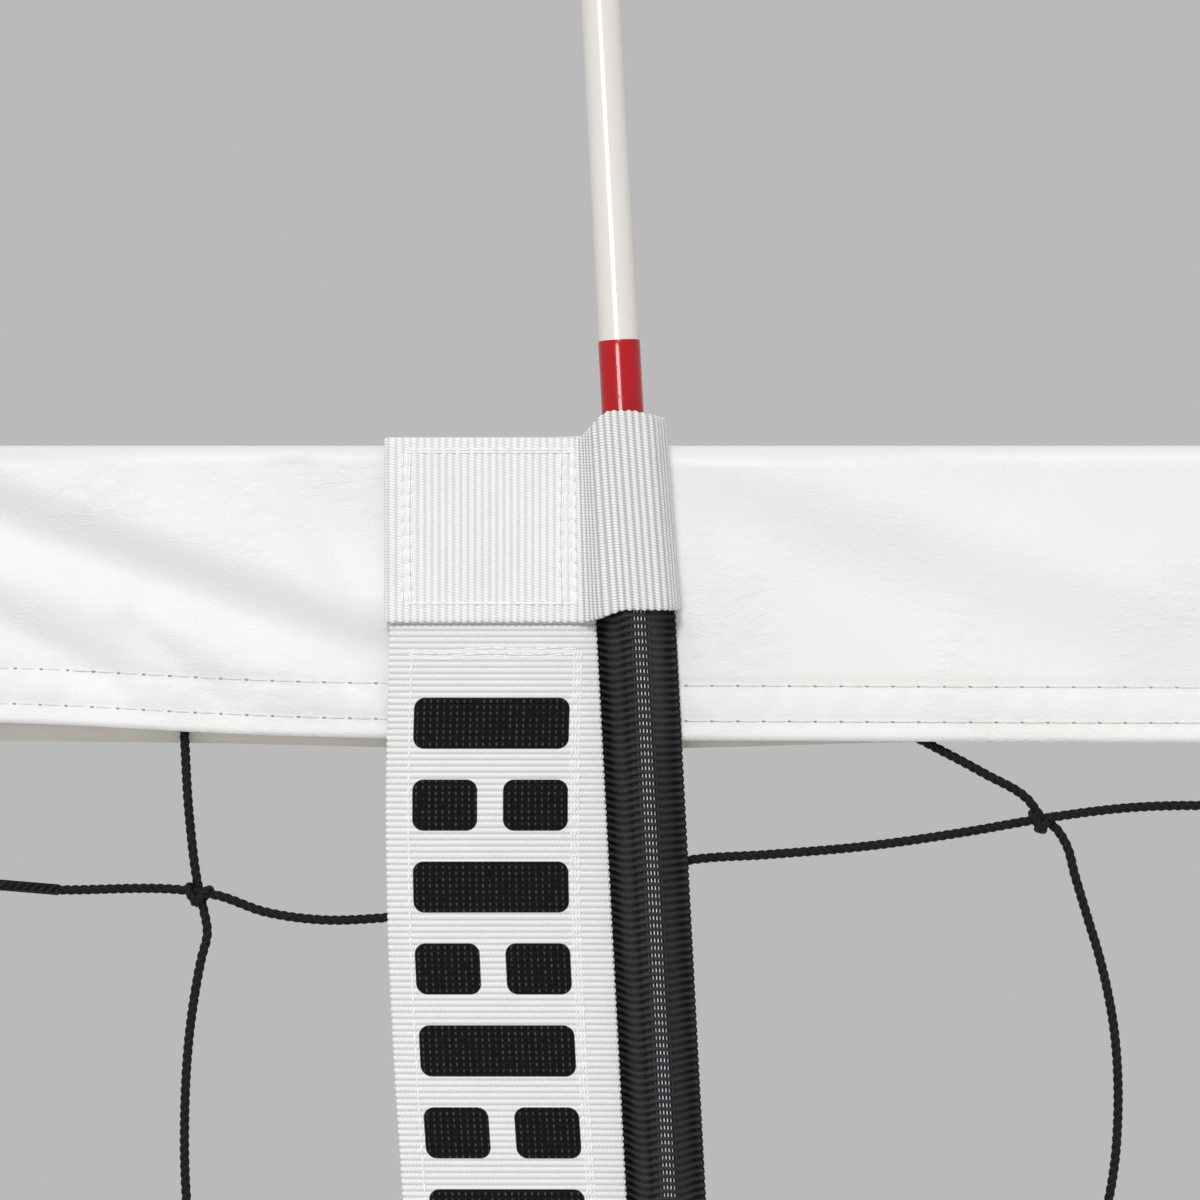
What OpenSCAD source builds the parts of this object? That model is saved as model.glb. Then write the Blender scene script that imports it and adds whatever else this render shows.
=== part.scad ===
// Competition volleyball net with two side markers and two antennas.
// X runs along the net, -Y is the face that the right marker hangs on, +Z is up.
// The origin is the middle of the net's top edge.

/* [Net] */
// Court width, from sideline to sideline
court_w = 9000; // [6000:10:10800]
// How far the net runs on past each sideline
overhang = 250; // [150:5:300]
// Height of the net, from its top edge to its bottom edge
net_h = 1000; // [800:5:1200]
// Side of one square mesh
mesh = 100; // [80:1:120]
// Diameter of the twisted netting cord
cord_d = 2.6; // [2:0.1:3.2]

/* [Bands] */
// Height of the folded head band
head_band_h = 70; // [55:1:85]
// Height of the folded foot band
foot_band_h = 50; // [40:1:60]
// Thickness of the band's coated cloth
band_t = 1; // [0.6:0.1:1.5]
// Diameter of the head cable, and of the foot rope
cable_d = 5; // [5:0.1:8]
// Width of a line of sewing
thread_w = 0.8; // [0.4:0.1:1.2]
// How far a line of sewing stands proud
thread_t = 0.25; // [0.15:0.05:0.3]

/* [Net ends] */
// Width of the tape that is folded over each end of the net
end_tape_w = 50; // [45:1:70]
// Thickness of that tape
end_tape_t = 1.2; // [0.8:0.1:2]
// Diameter of the stiffening rod in the end tape
end_rod_d = 6.4; // [4:0.1:8]
// Number of grommets down each end
grommet_n = 5; // [2:1:6]
// Radius of a grommet's bore
grommet_r = 5; // [4:0.1:6]
// Radius of the eye at each end of the cable and of the rope
eye_r = 8; // [7:0.1:12]
// Length of the ferrule or seizing that closes an eye
ferrule_len = 28; // [20:1:40]

/* [Side marker] */
// Width of the marker's strap
strap_w = 50; // [40:1:60]
// Thickness of the strap's webbing
strap_t = 1.4; // [1:0.1:2]
// How far the strap's outer edge is inside the sideline at the top
strap_inset = 8; // [0:1:15]
// How far the marker leans, its foot outwards, in degrees
marker_lean = 3; // [2:0.1:4]
// Height of the wrap that holds the antenna to the band
wrap_h = 44.5; // [35:0.5:52]
// How far the wrap stands above the net's top edge
wrap_rise = 2; // [0.5:0.5:4]
// Thickness of the wrap's webbing
wrap_t = 1.4; // [1:0.1:2]

/* [Antenna and sleeve] */
// Diameter of the antenna's tube
rod_d = 9.5; // [8:0.1:12]
// Wall of the antenna's tube
rod_wall = 1.5; // [1:0.1:2.5]
// How far the antenna stands above the net
antenna_above = 823.5; // [650:0.5:990]
// How far the antenna's foot stays above the net's bottom edge
antenna_foot_gap = 23.5; // [20:0.5:40]
// Length of one coloured band
colour_len = 100; // [80:1:120]
// Thickness of the coloured tape
tape_t = 0.12; // [0.05:0.01:0.2]
// How far the antenna can be drawn up out of its sleeve
antenna_travel = 900; // [300:10:900]
// Width of the flat tubular webbing that the sleeve is made of
sleeve_w = 24.1; // [22:0.1:28]
// Width of the sleeve's edge that is sewn under the strap
sleeve_tuck = 5.5; // [4:0.1:7]
// Wall of the sleeve round the antenna
sleeve_wall = 1; // [0.6:0.1:1.4]
// Thickness of the sleeve where it lies flat
sleeve_flat_t = 1.6; // [1.2:0.1:2]

/* [Fastening flaps] */
// Width of a flap's tongue
tongue_w = 33; // [24:1:40]
// Thickness of a flap
flap_t = 1.4; // [1:0.1:1.8]
// Height of the top flap's hook patch
top_patch_h = 36; // [25:1:45]
// Height of the bottom flap's hook patch
bottom_patch_h = 22; // [18:1:26]
// Thickness of a hook patch or a loop patch
patch_t = 0.8; // [0.5:0.1:1]

/* [Hidden] */
$fn = 48;

// Clearances
seat_gap = 0.3;   // between layers that lie on each other
loose_gap = 0.5;  // round a cable, a rod or a cord
pass_gap = 3;     // between a flap and a netting cord that it passes

// Net
sideline = court_w / 2;
net_end = sideline + overhang;
cord_r = cord_d / 2;
column_n = round(court_w / mesh);            // meshes between the sidelines
column_pitch = court_w / column_n;
spare_columns = floor((overhang - end_tape_w) / column_pitch + 0.01);
row_n = round(net_h / mesh);
row_pitch = net_h / row_n;
cord_y = cord_r + 0.05;                      // uprights behind the net's plane, rows before it

// Bands
cable_r = cable_d / 2;
hollow_half = max(cable_r + loose_gap, cord_d + 0.4);
band_half = hollow_half + band_t;
cable_z = -band_half;
rope_z = band_half - net_h;
head_edge = -head_band_h;
foot_edge = foot_band_h - net_h;
stitch_in = [4.5, 13];                       // the two rows of sewing, in from a band's edge

// Net ends
tape_in = band_half + 0.2;
tape_out = tape_in + end_tape_t;
tape_x0 = net_end - end_tape_w;
row_end = tape_x0 + 5;                       // the rows run on into the end tape
tape_x1 = net_end + loose_gap + end_tape_t;
end_rod_x = net_end - end_rod_d / 2 - 1;
grommet_wall = 0.6;
grommet_flange = 0.8;
grommet_rim = grommet_r + 4;
grommet_x = end_rod_x - end_rod_d / 2 - grommet_rim - 3;
grommet_z0 = head_edge - 80;
grommet_z1 = foot_edge + 100;
grommet_step = (grommet_z1 - grommet_z0) / (grommet_n - 1);
thimble_wall = 1.2;
thimble_lip = 3;
eye_loop_r = eye_r + thimble_wall + cable_r + 0.05;
ferrule_x = tape_x1 + 12;
eye_x = ferrule_x + ferrule_len + eye_loop_r + 12;

// Marker, in layers from the band's face outwards
edge_top = sideline - strap_inset;           // the strap's outer edge at the net's top
face = band_half + seat_gap;
strap_back = face + sleeve_flat_t + 0.2;
strap_front = strap_back + strap_t;
wrap_back = strap_front + seat_gap;
wrap_front = wrap_back + wrap_t;
fold_z = seat_gap;                           // the strap's fold lies this far off the band
fold_y = band_half - 1;                      // where the fold ends and a flap begins
wrap_top = wrap_rise;
wrap_bottom = wrap_top - wrap_h;

// Antenna
rod_r = rod_d / 2;
wrap_bore = rod_r + loose_gap;
rod_y = face + wrap_t + wrap_bore;
sleeve_bore = rod_r + 0.35;
sleeve_r = sleeve_bore + sleeve_wall;
rod_x = sleeve_r + 2.7;                      // from the strap's outer edge
plug_head = 4;
plug_len = 15;
rod_bottom = antenna_foot_gap - net_h;
sleeve_top = wrap_bottom - 2.5;
sleeve_floor = rod_bottom - plug_head - loose_gap;
sleeve_end = 12;                             // flat end below the sleeve's floor

// Flaps: each passes the net under or over a gate, the first cord or band edge
// with room for the whole patch beyond it
gate_gap = 7;
slant_h = 14;
top_room = gate_gap + slant_h + top_patch_h + pass_gap;
bottom_room = gate_gap + slant_h + bottom_patch_h + pass_gap;
top_gate = row_pitch - head_band_h >= top_room ? head_edge : -row_pitch - cord_r;
bottom_gate = row_pitch - foot_band_h >= bottom_room ? foot_edge : row_pitch - net_h + cord_r;
hook_y = strap_back - patch_t - 0.4;         // the hook patch's front face
tongue_front = hook_y - patch_t;
top_slant = top_gate - gate_gap;
top_hook = top_slant - slant_h;
top_tip = top_hook - top_patch_h;
bottom_slant = bottom_gate + gate_gap;
bottom_hook = bottom_slant + slant_h;
bottom_tip = bottom_hook + bottom_patch_h;
flap_y = band_half + seat_gap;               // the flap's inner face, and its hinge line
hinge_z = 1;
tuck_gap = 2;
top_tongue_x1 = min(sideline - cord_r - pass_gap, edge_top - sleeve_tuck - tuck_gap);
top_tongue_x0 = max(top_tongue_x1 - tongue_w, edge_x(top_tip) - strap_w + 1);
bottom_tongue_x0 = max(sideline + cord_r + pass_gap, edge_x(bottom_gate) - strap_w + 1);
bottom_tongue_x1 = min(bottom_tongue_x0 + tongue_w, edge_x(bottom_tip) - sleeve_tuck - tuck_gap);

// The strap's outer edge at a height
function edge_x(z) = edge_top - z * tan(marker_lean);

// Turns the right-hand piece round to the other end and face of the net
module to_left() rotate([0, 0, 180]) children();

// A strip of webbing on the leaning strap: a and b are measured from its outer edge
module strip(a, b, z0, z1, y_back, t)
    translate([0, -y_back, 0]) rotate([90, 0, 0]) linear_extrude(t)
        polygon([[edge_x(z0) + a, z0], [edge_x(z0) + b, z0],
                 [edge_x(z1) + b, z1], [edge_x(z1) + a, z1]]);

// A ribbon that is level along X and follows a path of [y, z] points
module ribbon(path, t, x0, x1)
    translate([x0, 0, 0]) rotate([90, 0, 90]) linear_extrude(x1 - x0)
        polygon(concat(path, [for (i = [len(path) - 1 : -1 : 0]) path[i] + [t, 0]]));

// A box between two corners
module block(low, high) translate(low) cube(high - low);

// A straight round bar along X
module bar_x(r, x0, x1, y = 0, z = 0, sides = 48)
    translate([x0, y, z]) rotate([0, 90, 0]) cylinder(r = r, h = x1 - x0, $fn = sides);

// The folded cloth of a band: a hollow U, open at the edge away from the fold
module band_section(h) {
    difference() {
        union() {
            translate([0, -band_half]) circle(band_half);
            translate([-band_half, -h]) square([2 * band_half, h - band_half]);
        }
        translate([0, -band_half]) circle(hollow_half);
        translate([-hollow_half, -h - 1]) square([2 * hollow_half, h - band_half + 1]);
    }
}

// The four lines of sewing along a band whose open edge is at the given height
module band_stitching(edge, dir)
    for (inset = stitch_in, side = [-1, 1])
        translate([0, side * (band_half + thread_t / 2), edge + dir * inset])
            cube([2 * (tape_x0 - 2), thread_t, thread_w], center = true);

module head_band()
    color("white") translate([-net_end, 0, 0])
        rotate([90, 0, 90]) linear_extrude(2 * net_end) band_section(head_band_h);

module head_band_stitching() color("gainsboro") band_stitching(head_edge, 1);

module foot_band()
    color("white") translate([-net_end, 0, -net_h])
        rotate([90, 0, 90]) linear_extrude(2 * net_end) mirror([0, 1]) band_section(foot_band_h);

module foot_band_stitching() color("gainsboro") band_stitching(foot_edge, -1);

// A line with an eye at each end
module eyed_line(z) {
    bar_x(cable_r, -eye_x + eye_loop_r, eye_x - eye_loop_r, 0, z);
    for (side = [-1, 1])
        translate([side * eye_x, 0, z]) rotate([90, 0, 0])
            rotate_extrude() translate([eye_loop_r, 0]) circle(cable_r);
}

module head_cable() color("silver") eyed_line(cable_z);
module foot_rope() color("ivory") eyed_line(rope_z);

// A grooved round thimble in the right-hand eye
module thimble(z)
    translate([eye_x, 0, z]) rotate([90, 0, 0]) rotate_extrude()
        let (lip = cable_r + loose_gap, rim = eye_r + thimble_wall + thimble_lip)
            polygon([[eye_r, -lip - 1], [rim, -lip - 1], [rim, -lip], [eye_r + thimble_wall, -lip],
                     [eye_r + thimble_wall, lip], [rim, lip], [rim, lip + 1], [eye_r, lip + 1]]);

module right_head_thimble() color("lightsteelblue") thimble(cable_z);
module left_head_thimble() color("lightsteelblue") to_left() thimble(cable_z);
module right_foot_thimble() color("dimgray") thimble(rope_z);
module left_foot_thimble() color("dimgray") to_left() thimble(rope_z);

// The sleeve that closes the right-hand eye
module eye_closer(z, wall)
    difference() {
        bar_x(cable_r + wall, ferrule_x, ferrule_x + ferrule_len, 0, z);
        bar_x(cable_r, ferrule_x - 1, ferrule_x + ferrule_len + 1, 0, z);
    }

module right_head_ferrule() color("silver") eye_closer(cable_z, 3);
module left_head_ferrule() color("silver") to_left() eye_closer(cable_z, 3);
module right_foot_seizing() color("ivory") eye_closer(rope_z, 1.6);
module left_foot_seizing() color("ivory") to_left() eye_closer(rope_z, 1.6);

module netting_uprights()
    color("black")
        for (i = [-spare_columns : column_n + spare_columns])
            translate([i * column_pitch - sideline, cord_y, -net_h + 2 * band_half + 2])
                cylinder(r = cord_r, h = net_h - 4 * band_half - 4, $fn = 8);

module netting_rows()
    color("black")
        for (i = [1 : row_n - 1])
            if (i * row_pitch < net_h - 2 * band_half - cord_d)
                bar_x(cord_r, -row_end, row_end, -cord_y, -i * row_pitch, 8);

// The tape folded over the right-hand end, with holes for the cable, the rope and the grommets
module end_tape()
    difference() {
        block([tape_x0, -tape_out, -net_h], [tape_x1, tape_out, 0]);
        block([tape_x0 - 1, -tape_in, -net_h - 1], [net_end + loose_gap, tape_in, 1]);
        for (z = [cable_z, rope_z]) bar_x(cable_r + 0.3, net_end - 1, tape_x1 + 1, 0, z);
        at_grommets() cylinder(r = grommet_r + grommet_wall + 0.1, h = 4 * tape_out, center = true);
    }

module at_grommets()
    for (i = [0 : grommet_n - 1])
        translate([grommet_x, 0, grommet_z0 + i * grommet_step]) rotate([90, 0, 0]) children();

module right_end_tape() color("white") end_tape();
module left_end_tape() color("white") to_left() end_tape();

// The rod stands in the end tape, between the two bands
module end_rod()
    translate([end_rod_x, 0, foot_edge + 4])
        cylinder(d = end_rod_d, h = head_edge - foot_edge - 8);

module right_end_rod() color("burlywood") end_rod();
module left_end_rod() color("burlywood") to_left() end_rod();

// A row of two-flanged grommets
module grommets() {
    barrel = grommet_r + grommet_wall;
    half = tape_out + grommet_flange;
    at_grommets() rotate_extrude()
        polygon([[grommet_r, -half], [grommet_rim, -half], [grommet_rim, -tape_out],
                 [barrel, -tape_out], [barrel, tape_out], [grommet_rim, tape_out],
                 [grommet_rim, half], [grommet_r, half]]);
}

module right_grommets() color("goldenrod") grommets();
module left_grommets() color("goldenrod") to_left() grommets();

// The marker's strap: down the net's face, folded over its top edge and under its bottom edge
module marker_strap() {
    top = fold_z + strap_t;
    bottom = -net_h - fold_z - strap_t;
    strip(-strap_w, 0, bottom, top, strap_back, strap_t);
    block([edge_top - strap_w, -strap_back, fold_z], [edge_top, fold_y, top]);
    block([edge_x(-net_h) - strap_w, -strap_back, bottom],
          [edge_x(-net_h), fold_y, bottom + strap_t]);
}

module right_marker_strap() color("whitesmoke") marker_strap();
module left_marker_strap() color("whitesmoke") to_left() marker_strap();

// The seam that holds the sleeve, and the cross seam under the wrap
module strap_stitching() {
    seam_top = wrap_bottom - 6;
    seam_bottom = foot_edge;
    strip(-sleeve_tuck, thread_w - sleeve_tuck, seam_bottom, seam_top, strap_front, thread_t);
    strip(-strap_w + 5, -strap_w + 5 + thread_w, seam_bottom, seam_top, strap_front, thread_t);
    strip(-strap_w + 7, -sleeve_tuck - 2, seam_top, seam_top + thread_w, strap_front, thread_t);
}

module right_strap_stitching() color("lavender") strap_stitching();
module left_strap_stitching() color("lavender") to_left() strap_stitching();

// The loop patches on the strap's back, facing the two hook patches
module loop_patches() {
    block([top_tongue_x0, -strap_back, top_tip], [top_tongue_x1, patch_t - strap_back, top_hook]);
    block([bottom_tongue_x0, -strap_back, bottom_hook],
          [bottom_tongue_x1, patch_t - strap_back, bottom_tip]);
}

module right_loop_patches() color("white") loop_patches();
module left_loop_patches() color("white") to_left() loop_patches();

// Places its children on the marker's leaning axis, with the strap's outer edge at x = 0
module leaning() translate([edge_top, 0, 0]) rotate([0, -marker_lean, 0]) children();

// A round bar along the antenna's axis
module on_axis(r, z0, z1) translate([rod_x, -rod_y, z0]) cylinder(r = r, h = z1 - z0);

// Tubular webbing: round the antenna, flat beside it, and closed by a flat end
module antenna_sleeve()
    leaning() difference() {
        union() {
            on_axis(sleeve_r, sleeve_floor - 1, sleeve_top);
            block([-sleeve_tuck, -face - sleeve_flat_t, sleeve_floor - sleeve_end],
                  [sleeve_w - sleeve_tuck, -face, sleeve_top]);
        }
        on_axis(sleeve_bore, sleeve_floor, sleeve_top + 1);
    }

module right_antenna_sleeve() color("black") antenna_sleeve();
module left_antenna_sleeve() color("black") to_left() antenna_sleeve();

// Close rows of sewing across the sleeve's flat end
module sleeve_bartack()
    leaning() for (i = [0 : 3])
        let (z = sleeve_floor - 4 - 2 * i, y = face + sleeve_flat_t)
            block([2, -y - thread_t, z - thread_w], [sleeve_w - sleeve_tuck - 2, -y, z]);

module right_sleeve_bartack() color("dimgray") sleeve_bartack();
module left_sleeve_bartack() color("dimgray") to_left() sleeve_bartack();

// The wrap: flat over the strap, then a loop round the antenna
module top_wrap()
    difference() {
        union() {
            block([edge_top - strap_w, -wrap_front, wrap_bottom],
                  [edge_top + rod_x - wrap_bore, -wrap_back, wrap_top]);
            intersection() {
                leaning() on_axis(wrap_bore + wrap_t, wrap_bottom - 5, wrap_top + 5);
                block([edge_top - strap_w, -2 * rod_y - wrap_t, wrap_bottom],
                      [sideline + strap_w, 0, wrap_top]);
            }
        }
        leaning() on_axis(wrap_bore, wrap_bottom - 10, wrap_top + 10);
    }

module right_top_wrap() color("whitesmoke") top_wrap();
module left_top_wrap() color("whitesmoke") to_left() top_wrap();

// A box of sewing through the wrap and the strap
module wrap_stitching() {
    x0 = edge_top - strap_w + 4;
    x1 = edge_top - 5;
    z0 = wrap_bottom + 4;
    z1 = wrap_top - 4;
    low_y = -wrap_front - thread_t;
    for (x = [x0, x1]) block([x, low_y, z0], [x + thread_w, -wrap_front, z1]);
    for (z = [z0, z1 - thread_w])
        block([x0 + thread_w, low_y, z], [x1, -wrap_front, z + thread_w]);
}

module right_wrap_stitching() color("lavender") wrap_stitching();
module left_wrap_stitching() color("lavender") to_left() wrap_stitching();

module antenna_rod()
    leaning() difference() {
        on_axis(rod_r, rod_bottom, antenna_above);
        on_axis(rod_r - rod_wall, rod_bottom - 1, antenna_above + 1);
    }

module right_antenna_rod() color("white") antenna_rod();
module left_antenna_rod() color("white") to_left() antenna_rod();

// Every other colour band, from the top down
module antenna_bands()
    leaning() for (top = [antenna_above : -2 * colour_len : rod_bottom + 1])
        difference() {
            on_axis(rod_r + tape_t, max(top - colour_len, rod_bottom), top);
            on_axis(rod_r, rod_bottom - 1, antenna_above + 1);
        }

module right_antenna_bands() color("crimson") antenna_bands();
module left_antenna_bands() color("crimson") to_left() antenna_bands();

// A rubber plug with its spigot in the tube
module antenna_tip() leaning() {
    on_axis(rod_r - rod_wall, antenna_above - plug_len, antenna_above);
    on_axis(rod_r + tape_t, antenna_above, antenna_above + plug_head);
}

module antenna_foot() leaning() {
    on_axis(rod_r - rod_wall, rod_bottom, rod_bottom + plug_len);
    on_axis(rod_r, rod_bottom - plug_head, rod_bottom);
}

module right_antenna_tip() color("dimgray") antenna_tip();
module left_antenna_tip() color("dimgray") to_left() antenna_tip();
module right_antenna_foot() color("dimgray") antenna_foot();
module left_antenna_foot() color("dimgray") to_left() antenna_foot();

// The top flap hangs from the strap's fold and passes under the top gate
module top_flap() {
    shoulder = head_edge + 6;
    block([edge_top - strap_w, flap_y, shoulder], [edge_top, flap_y + flap_t, hinge_z]);
    ribbon([[flap_y, shoulder], [flap_y, top_slant], [-tongue_front, top_hook],
            [-tongue_front, top_tip]], flap_t, top_tongue_x0, top_tongue_x1);
}

module right_top_flap() color("whitesmoke") top_flap();
module left_top_flap() color("whitesmoke") to_left() top_flap();

module top_hook_patch()
    block([top_tongue_x0, -hook_y, top_tip], [top_tongue_x1, -tongue_front, top_hook]);

module right_top_hook_patch() color("gray") top_hook_patch();
module left_top_hook_patch() color("gray") to_left() top_hook_patch();

// The bottom flap stands up from the strap's lower fold and passes over the bottom gate
module bottom_flap() {
    shoulder = foot_edge - 6;
    block([edge_x(-net_h) - strap_w, flap_y, -net_h - hinge_z],
          [edge_x(-net_h), flap_y + flap_t, shoulder]);
    ribbon([[flap_y, shoulder], [flap_y, bottom_slant], [-tongue_front, bottom_hook],
            [-tongue_front, bottom_tip]], flap_t, bottom_tongue_x0, bottom_tongue_x1);
}

module right_bottom_flap() color("whitesmoke") bottom_flap();
module left_bottom_flap() color("whitesmoke") to_left() bottom_flap();

module bottom_hook_patch()
    block([bottom_tongue_x0, -hook_y, bottom_hook],
          [bottom_tongue_x1, -tongue_front, bottom_tip]);

module right_bottom_hook_patch() color("gray") bottom_hook_patch();
module left_bottom_hook_patch() color("gray") to_left() bottom_hook_patch();

head_band();
head_band_stitching();
head_cable();
left_head_thimble();
right_head_thimble();
left_head_ferrule();
right_head_ferrule();
netting_uprights();
netting_rows();
foot_band();
foot_band_stitching();
foot_rope();
left_foot_thimble();
right_foot_thimble();
left_foot_seizing();
right_foot_seizing();
left_end_tape();
right_end_tape();
left_end_rod();
right_end_rod();
left_grommets();
right_grommets();
left_marker_strap();
right_marker_strap();
left_strap_stitching();
right_strap_stitching();
left_loop_patches();
right_loop_patches();
left_antenna_sleeve();
right_antenna_sleeve();
left_sleeve_bartack();
right_sleeve_bartack();
left_top_wrap();
right_top_wrap();
left_wrap_stitching();
right_wrap_stitching();
left_antenna_rod();
right_antenna_rod();
left_antenna_bands();
right_antenna_bands();
left_antenna_tip();
right_antenna_tip();
left_antenna_foot();
right_antenna_foot();
left_top_flap();
right_top_flap();
left_top_hook_patch();
right_top_hook_patch();
left_bottom_flap();
right_bottom_flap();
left_bottom_hook_patch();
right_bottom_hook_patch();
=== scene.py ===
import math

import bpy
import numpy as np
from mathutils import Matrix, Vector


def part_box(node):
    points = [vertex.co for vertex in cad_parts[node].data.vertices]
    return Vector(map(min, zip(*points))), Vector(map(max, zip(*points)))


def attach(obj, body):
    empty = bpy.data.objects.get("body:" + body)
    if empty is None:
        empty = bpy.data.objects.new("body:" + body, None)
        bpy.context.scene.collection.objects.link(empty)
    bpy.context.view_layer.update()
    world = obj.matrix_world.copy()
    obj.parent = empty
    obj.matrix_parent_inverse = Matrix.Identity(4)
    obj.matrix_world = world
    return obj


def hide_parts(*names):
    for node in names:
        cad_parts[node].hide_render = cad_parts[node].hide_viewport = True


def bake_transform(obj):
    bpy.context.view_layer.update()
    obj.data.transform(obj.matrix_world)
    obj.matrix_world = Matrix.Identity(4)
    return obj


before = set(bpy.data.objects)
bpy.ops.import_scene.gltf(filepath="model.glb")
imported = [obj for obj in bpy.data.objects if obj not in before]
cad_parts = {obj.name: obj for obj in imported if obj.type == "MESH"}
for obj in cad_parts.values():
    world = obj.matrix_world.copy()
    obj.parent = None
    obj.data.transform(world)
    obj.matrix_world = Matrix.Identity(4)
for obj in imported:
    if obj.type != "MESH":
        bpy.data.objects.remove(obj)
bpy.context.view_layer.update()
MM = 0.001

# ---------------------------------------------------------------- camera, light and floor
# The camera looks straight at the net's face, at the place where the right marker and its
# antenna meet the head band. The light is one high soft sun from the left and an even grey sky.


def corners(node):
    """The low and high corners of a CAD piece's box."""
    return [np.array(c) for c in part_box(node)]


fold_low, fold_high = corners("right_top_flap")
MARKER_X = fold_high[0]           # the marker's outer edge at the net's top
NET_H = -corners("right_end_tape")[0][2]
HALF = 4 * MM                     # half the folded head band's thickness
VIEW_WIDTH = 281.7 * MM           # how much of the band's face the picture shows
VIEW_DISTANCE = 850 * MM
VIEW_RIGHT, VIEW_DROP = 3.1 * MM, 36.4 * MM      # from the marker's outer edge and the net's top
SENSOR = 36.0

camera_data = bpy.data.cameras.new("camera")
camera = bpy.data.objects.new("camera", camera_data)
bpy.context.scene.collection.objects.link(camera)
bpy.context.scene.camera = camera
camera_data.sensor_width = SENSOR
camera_data.lens = SENSOR * (VIEW_DISTANCE - HALF) / VIEW_WIDTH
camera_data.clip_start = 0.05
camera_data.clip_end = 60
camera.location = (MARKER_X + VIEW_RIGHT, -VIEW_DISTANCE, -VIEW_DROP)
camera.rotation_euler = (math.radians(90), 0, 0)


def add_sun(name, strength, spread_deg, turn_deg, colour):
    """A far light: spread is how wide its disc looks, and turn is the lamp's rotation."""
    lamp = bpy.data.lights.new(name, "SUN")
    lamp.energy = strength
    lamp.angle = math.radians(spread_deg)
    lamp.color = colour
    sun = bpy.data.objects.new(name, lamp)
    sun.rotation_euler = [math.radians(a) for a in turn_deg]
    bpy.context.scene.collection.objects.link(sun)


add_sun("key_sun", 1.62, 12, (58, 0, -6), (1.0, 0.99, 0.975))
add_sun("front_sun", 0.25, 2, (86, 0, -12), (1.0, 1.0, 1.0))
add_sun("gloss_sun", 0.95, 17, (86, 0, -12), (1.0, 1.0, 1.0))
add_sun("back_sun", 1.1, 50, (-60, 0, 20), (0.96, 0.98, 1.0))
# the front and back suns only fill; the gloss sun only draws the long highlight on the rods
bpy.data.objects["front_sun"].visible_glossy = False
bpy.data.objects["back_sun"].visible_glossy = False
bpy.data.objects["gloss_sun"].visible_diffuse = False

world = bpy.data.worlds.new("sky")
bpy.context.scene.world = world
world.use_nodes = True
SKY_GREY = 0.491
world.node_tree.nodes["Background"].inputs["Color"].default_value = (SKY_GREY,) * 3 + (1,)
bpy.context.scene.view_settings.view_transform = "Standard"

FLOOR_DROP = 2.43                 # the height that the net's top is set to, in metres
FLOOR_R = 9.5
bpy.ops.mesh.primitive_circle_add(vertices=96, radius=FLOOR_R, fill_type="NGON",
                                  location=(0, 0, -FLOOR_DROP))
floor = bpy.context.object
floor.name = "floor"
floor_finish = bpy.data.materials.new("floor_finish")
floor_finish.use_nodes = True
floor_shader = floor_finish.node_tree.nodes["Principled BSDF"]
floor_shader.inputs["Base Color"].default_value = (0.62, 0.62, 0.61, 1)
floor_shader.inputs["Roughness"].default_value = 0.8
floor.data.materials.append(floor_finish)

# ---------------------------------------------------------------- head band
# One strip of white coated cloth folded over the head cable, and sewn shut below it by two
# rows. It is pulled into soft folds beside the marker, which is strapped tightly round it.
CLOTH = 1.0 * MM
UNDER_TAPE = 52 * MM              # how far the end tapes reach over the bands
net_low, net_high = corners("head_band")
BAND_H = net_high[2] - net_low[2]


def face_outward(mesh):
    """Turns a closed mesh's faces outward, by the sign of the volume that they enclose."""
    mesh.calc_loop_triangles()
    corners = np.zeros(len(mesh.loop_triangles) * 3, np.int32)
    mesh.loop_triangles.foreach_get("vertices", corners)
    spots = np.zeros(len(mesh.vertices) * 3)
    mesh.vertices.foreach_get("co", spots)
    spots = spots.reshape(-1, 3)
    one, two, three = (spots - spots.mean(0))[corners.reshape(-1, 3)].transpose(1, 0, 2)
    if np.sum(one * np.cross(two, three)) < 0:
        mesh.flip_normals()


def add_mesh(name, spots, faces, weave=None):
    """A smooth-shaded piece. weave gives each point's place across and along the cloth, in metres."""
    mesh = bpy.data.meshes.new(name)
    mesh.from_pydata(spots.tolist(), [], faces)
    if weave is not None:
        layer = mesh.uv_layers.new(name="cloth")
        loops = np.zeros(len(mesh.loops), np.int32)
        mesh.loops.foreach_get("vertex_index", loops)
        layer.data.foreach_set("uv", weave[loops].astype(np.float32).ravel())
    mesh.polygons.foreach_set("use_smooth", [True] * len(mesh.polygons))
    face_outward(mesh)
    piece = bpy.data.objects.new(name, mesh)
    bpy.context.scene.collection.objects.link(piece)
    return piece


def around(rings, sides):
    """The four points of each face between a tube's rings."""
    r, c = np.arange(rings - 1)[:, None], np.arange(sides)[None, :]
    return np.stack([r * sides + c, r * sides + (c + 1) % sides,
                     (r + 1) * sides + (c + 1) % sides, (r + 1) * sides + c], -1).reshape(-1, 4)


def lay_mesh(name, points, weave=None):
    """A closed piece from a grid of points: its rows run along the piece, its columns go round it."""
    rings, sides = points.shape[:2]
    faces = around(rings, sides).tolist()
    faces.append(list(range(sides))[::-1])
    faces.append([(rings - 1) * sides + i for i in range(sides)])
    return add_mesh(name, points.reshape(-1, 3), faces, None if weave is None else weave.reshape(-1, 2))


def spaced(near, far, fine, coarse):
    """Positions from near[0] to near[1] at a fine step, and out to far[0] and far[1] at a coarse one."""
    left = np.linspace(far[0], near[0], max(2, int((near[0] - far[0]) / coarse)))
    mid = np.linspace(near[0], near[1], int((near[1] - near[0]) / fine))
    right = np.linspace(near[1], far[1], max(2, int((far[1] - near[1]) / coarse)))
    return np.concatenate([left[:-1], mid, right[1:]])


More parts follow.
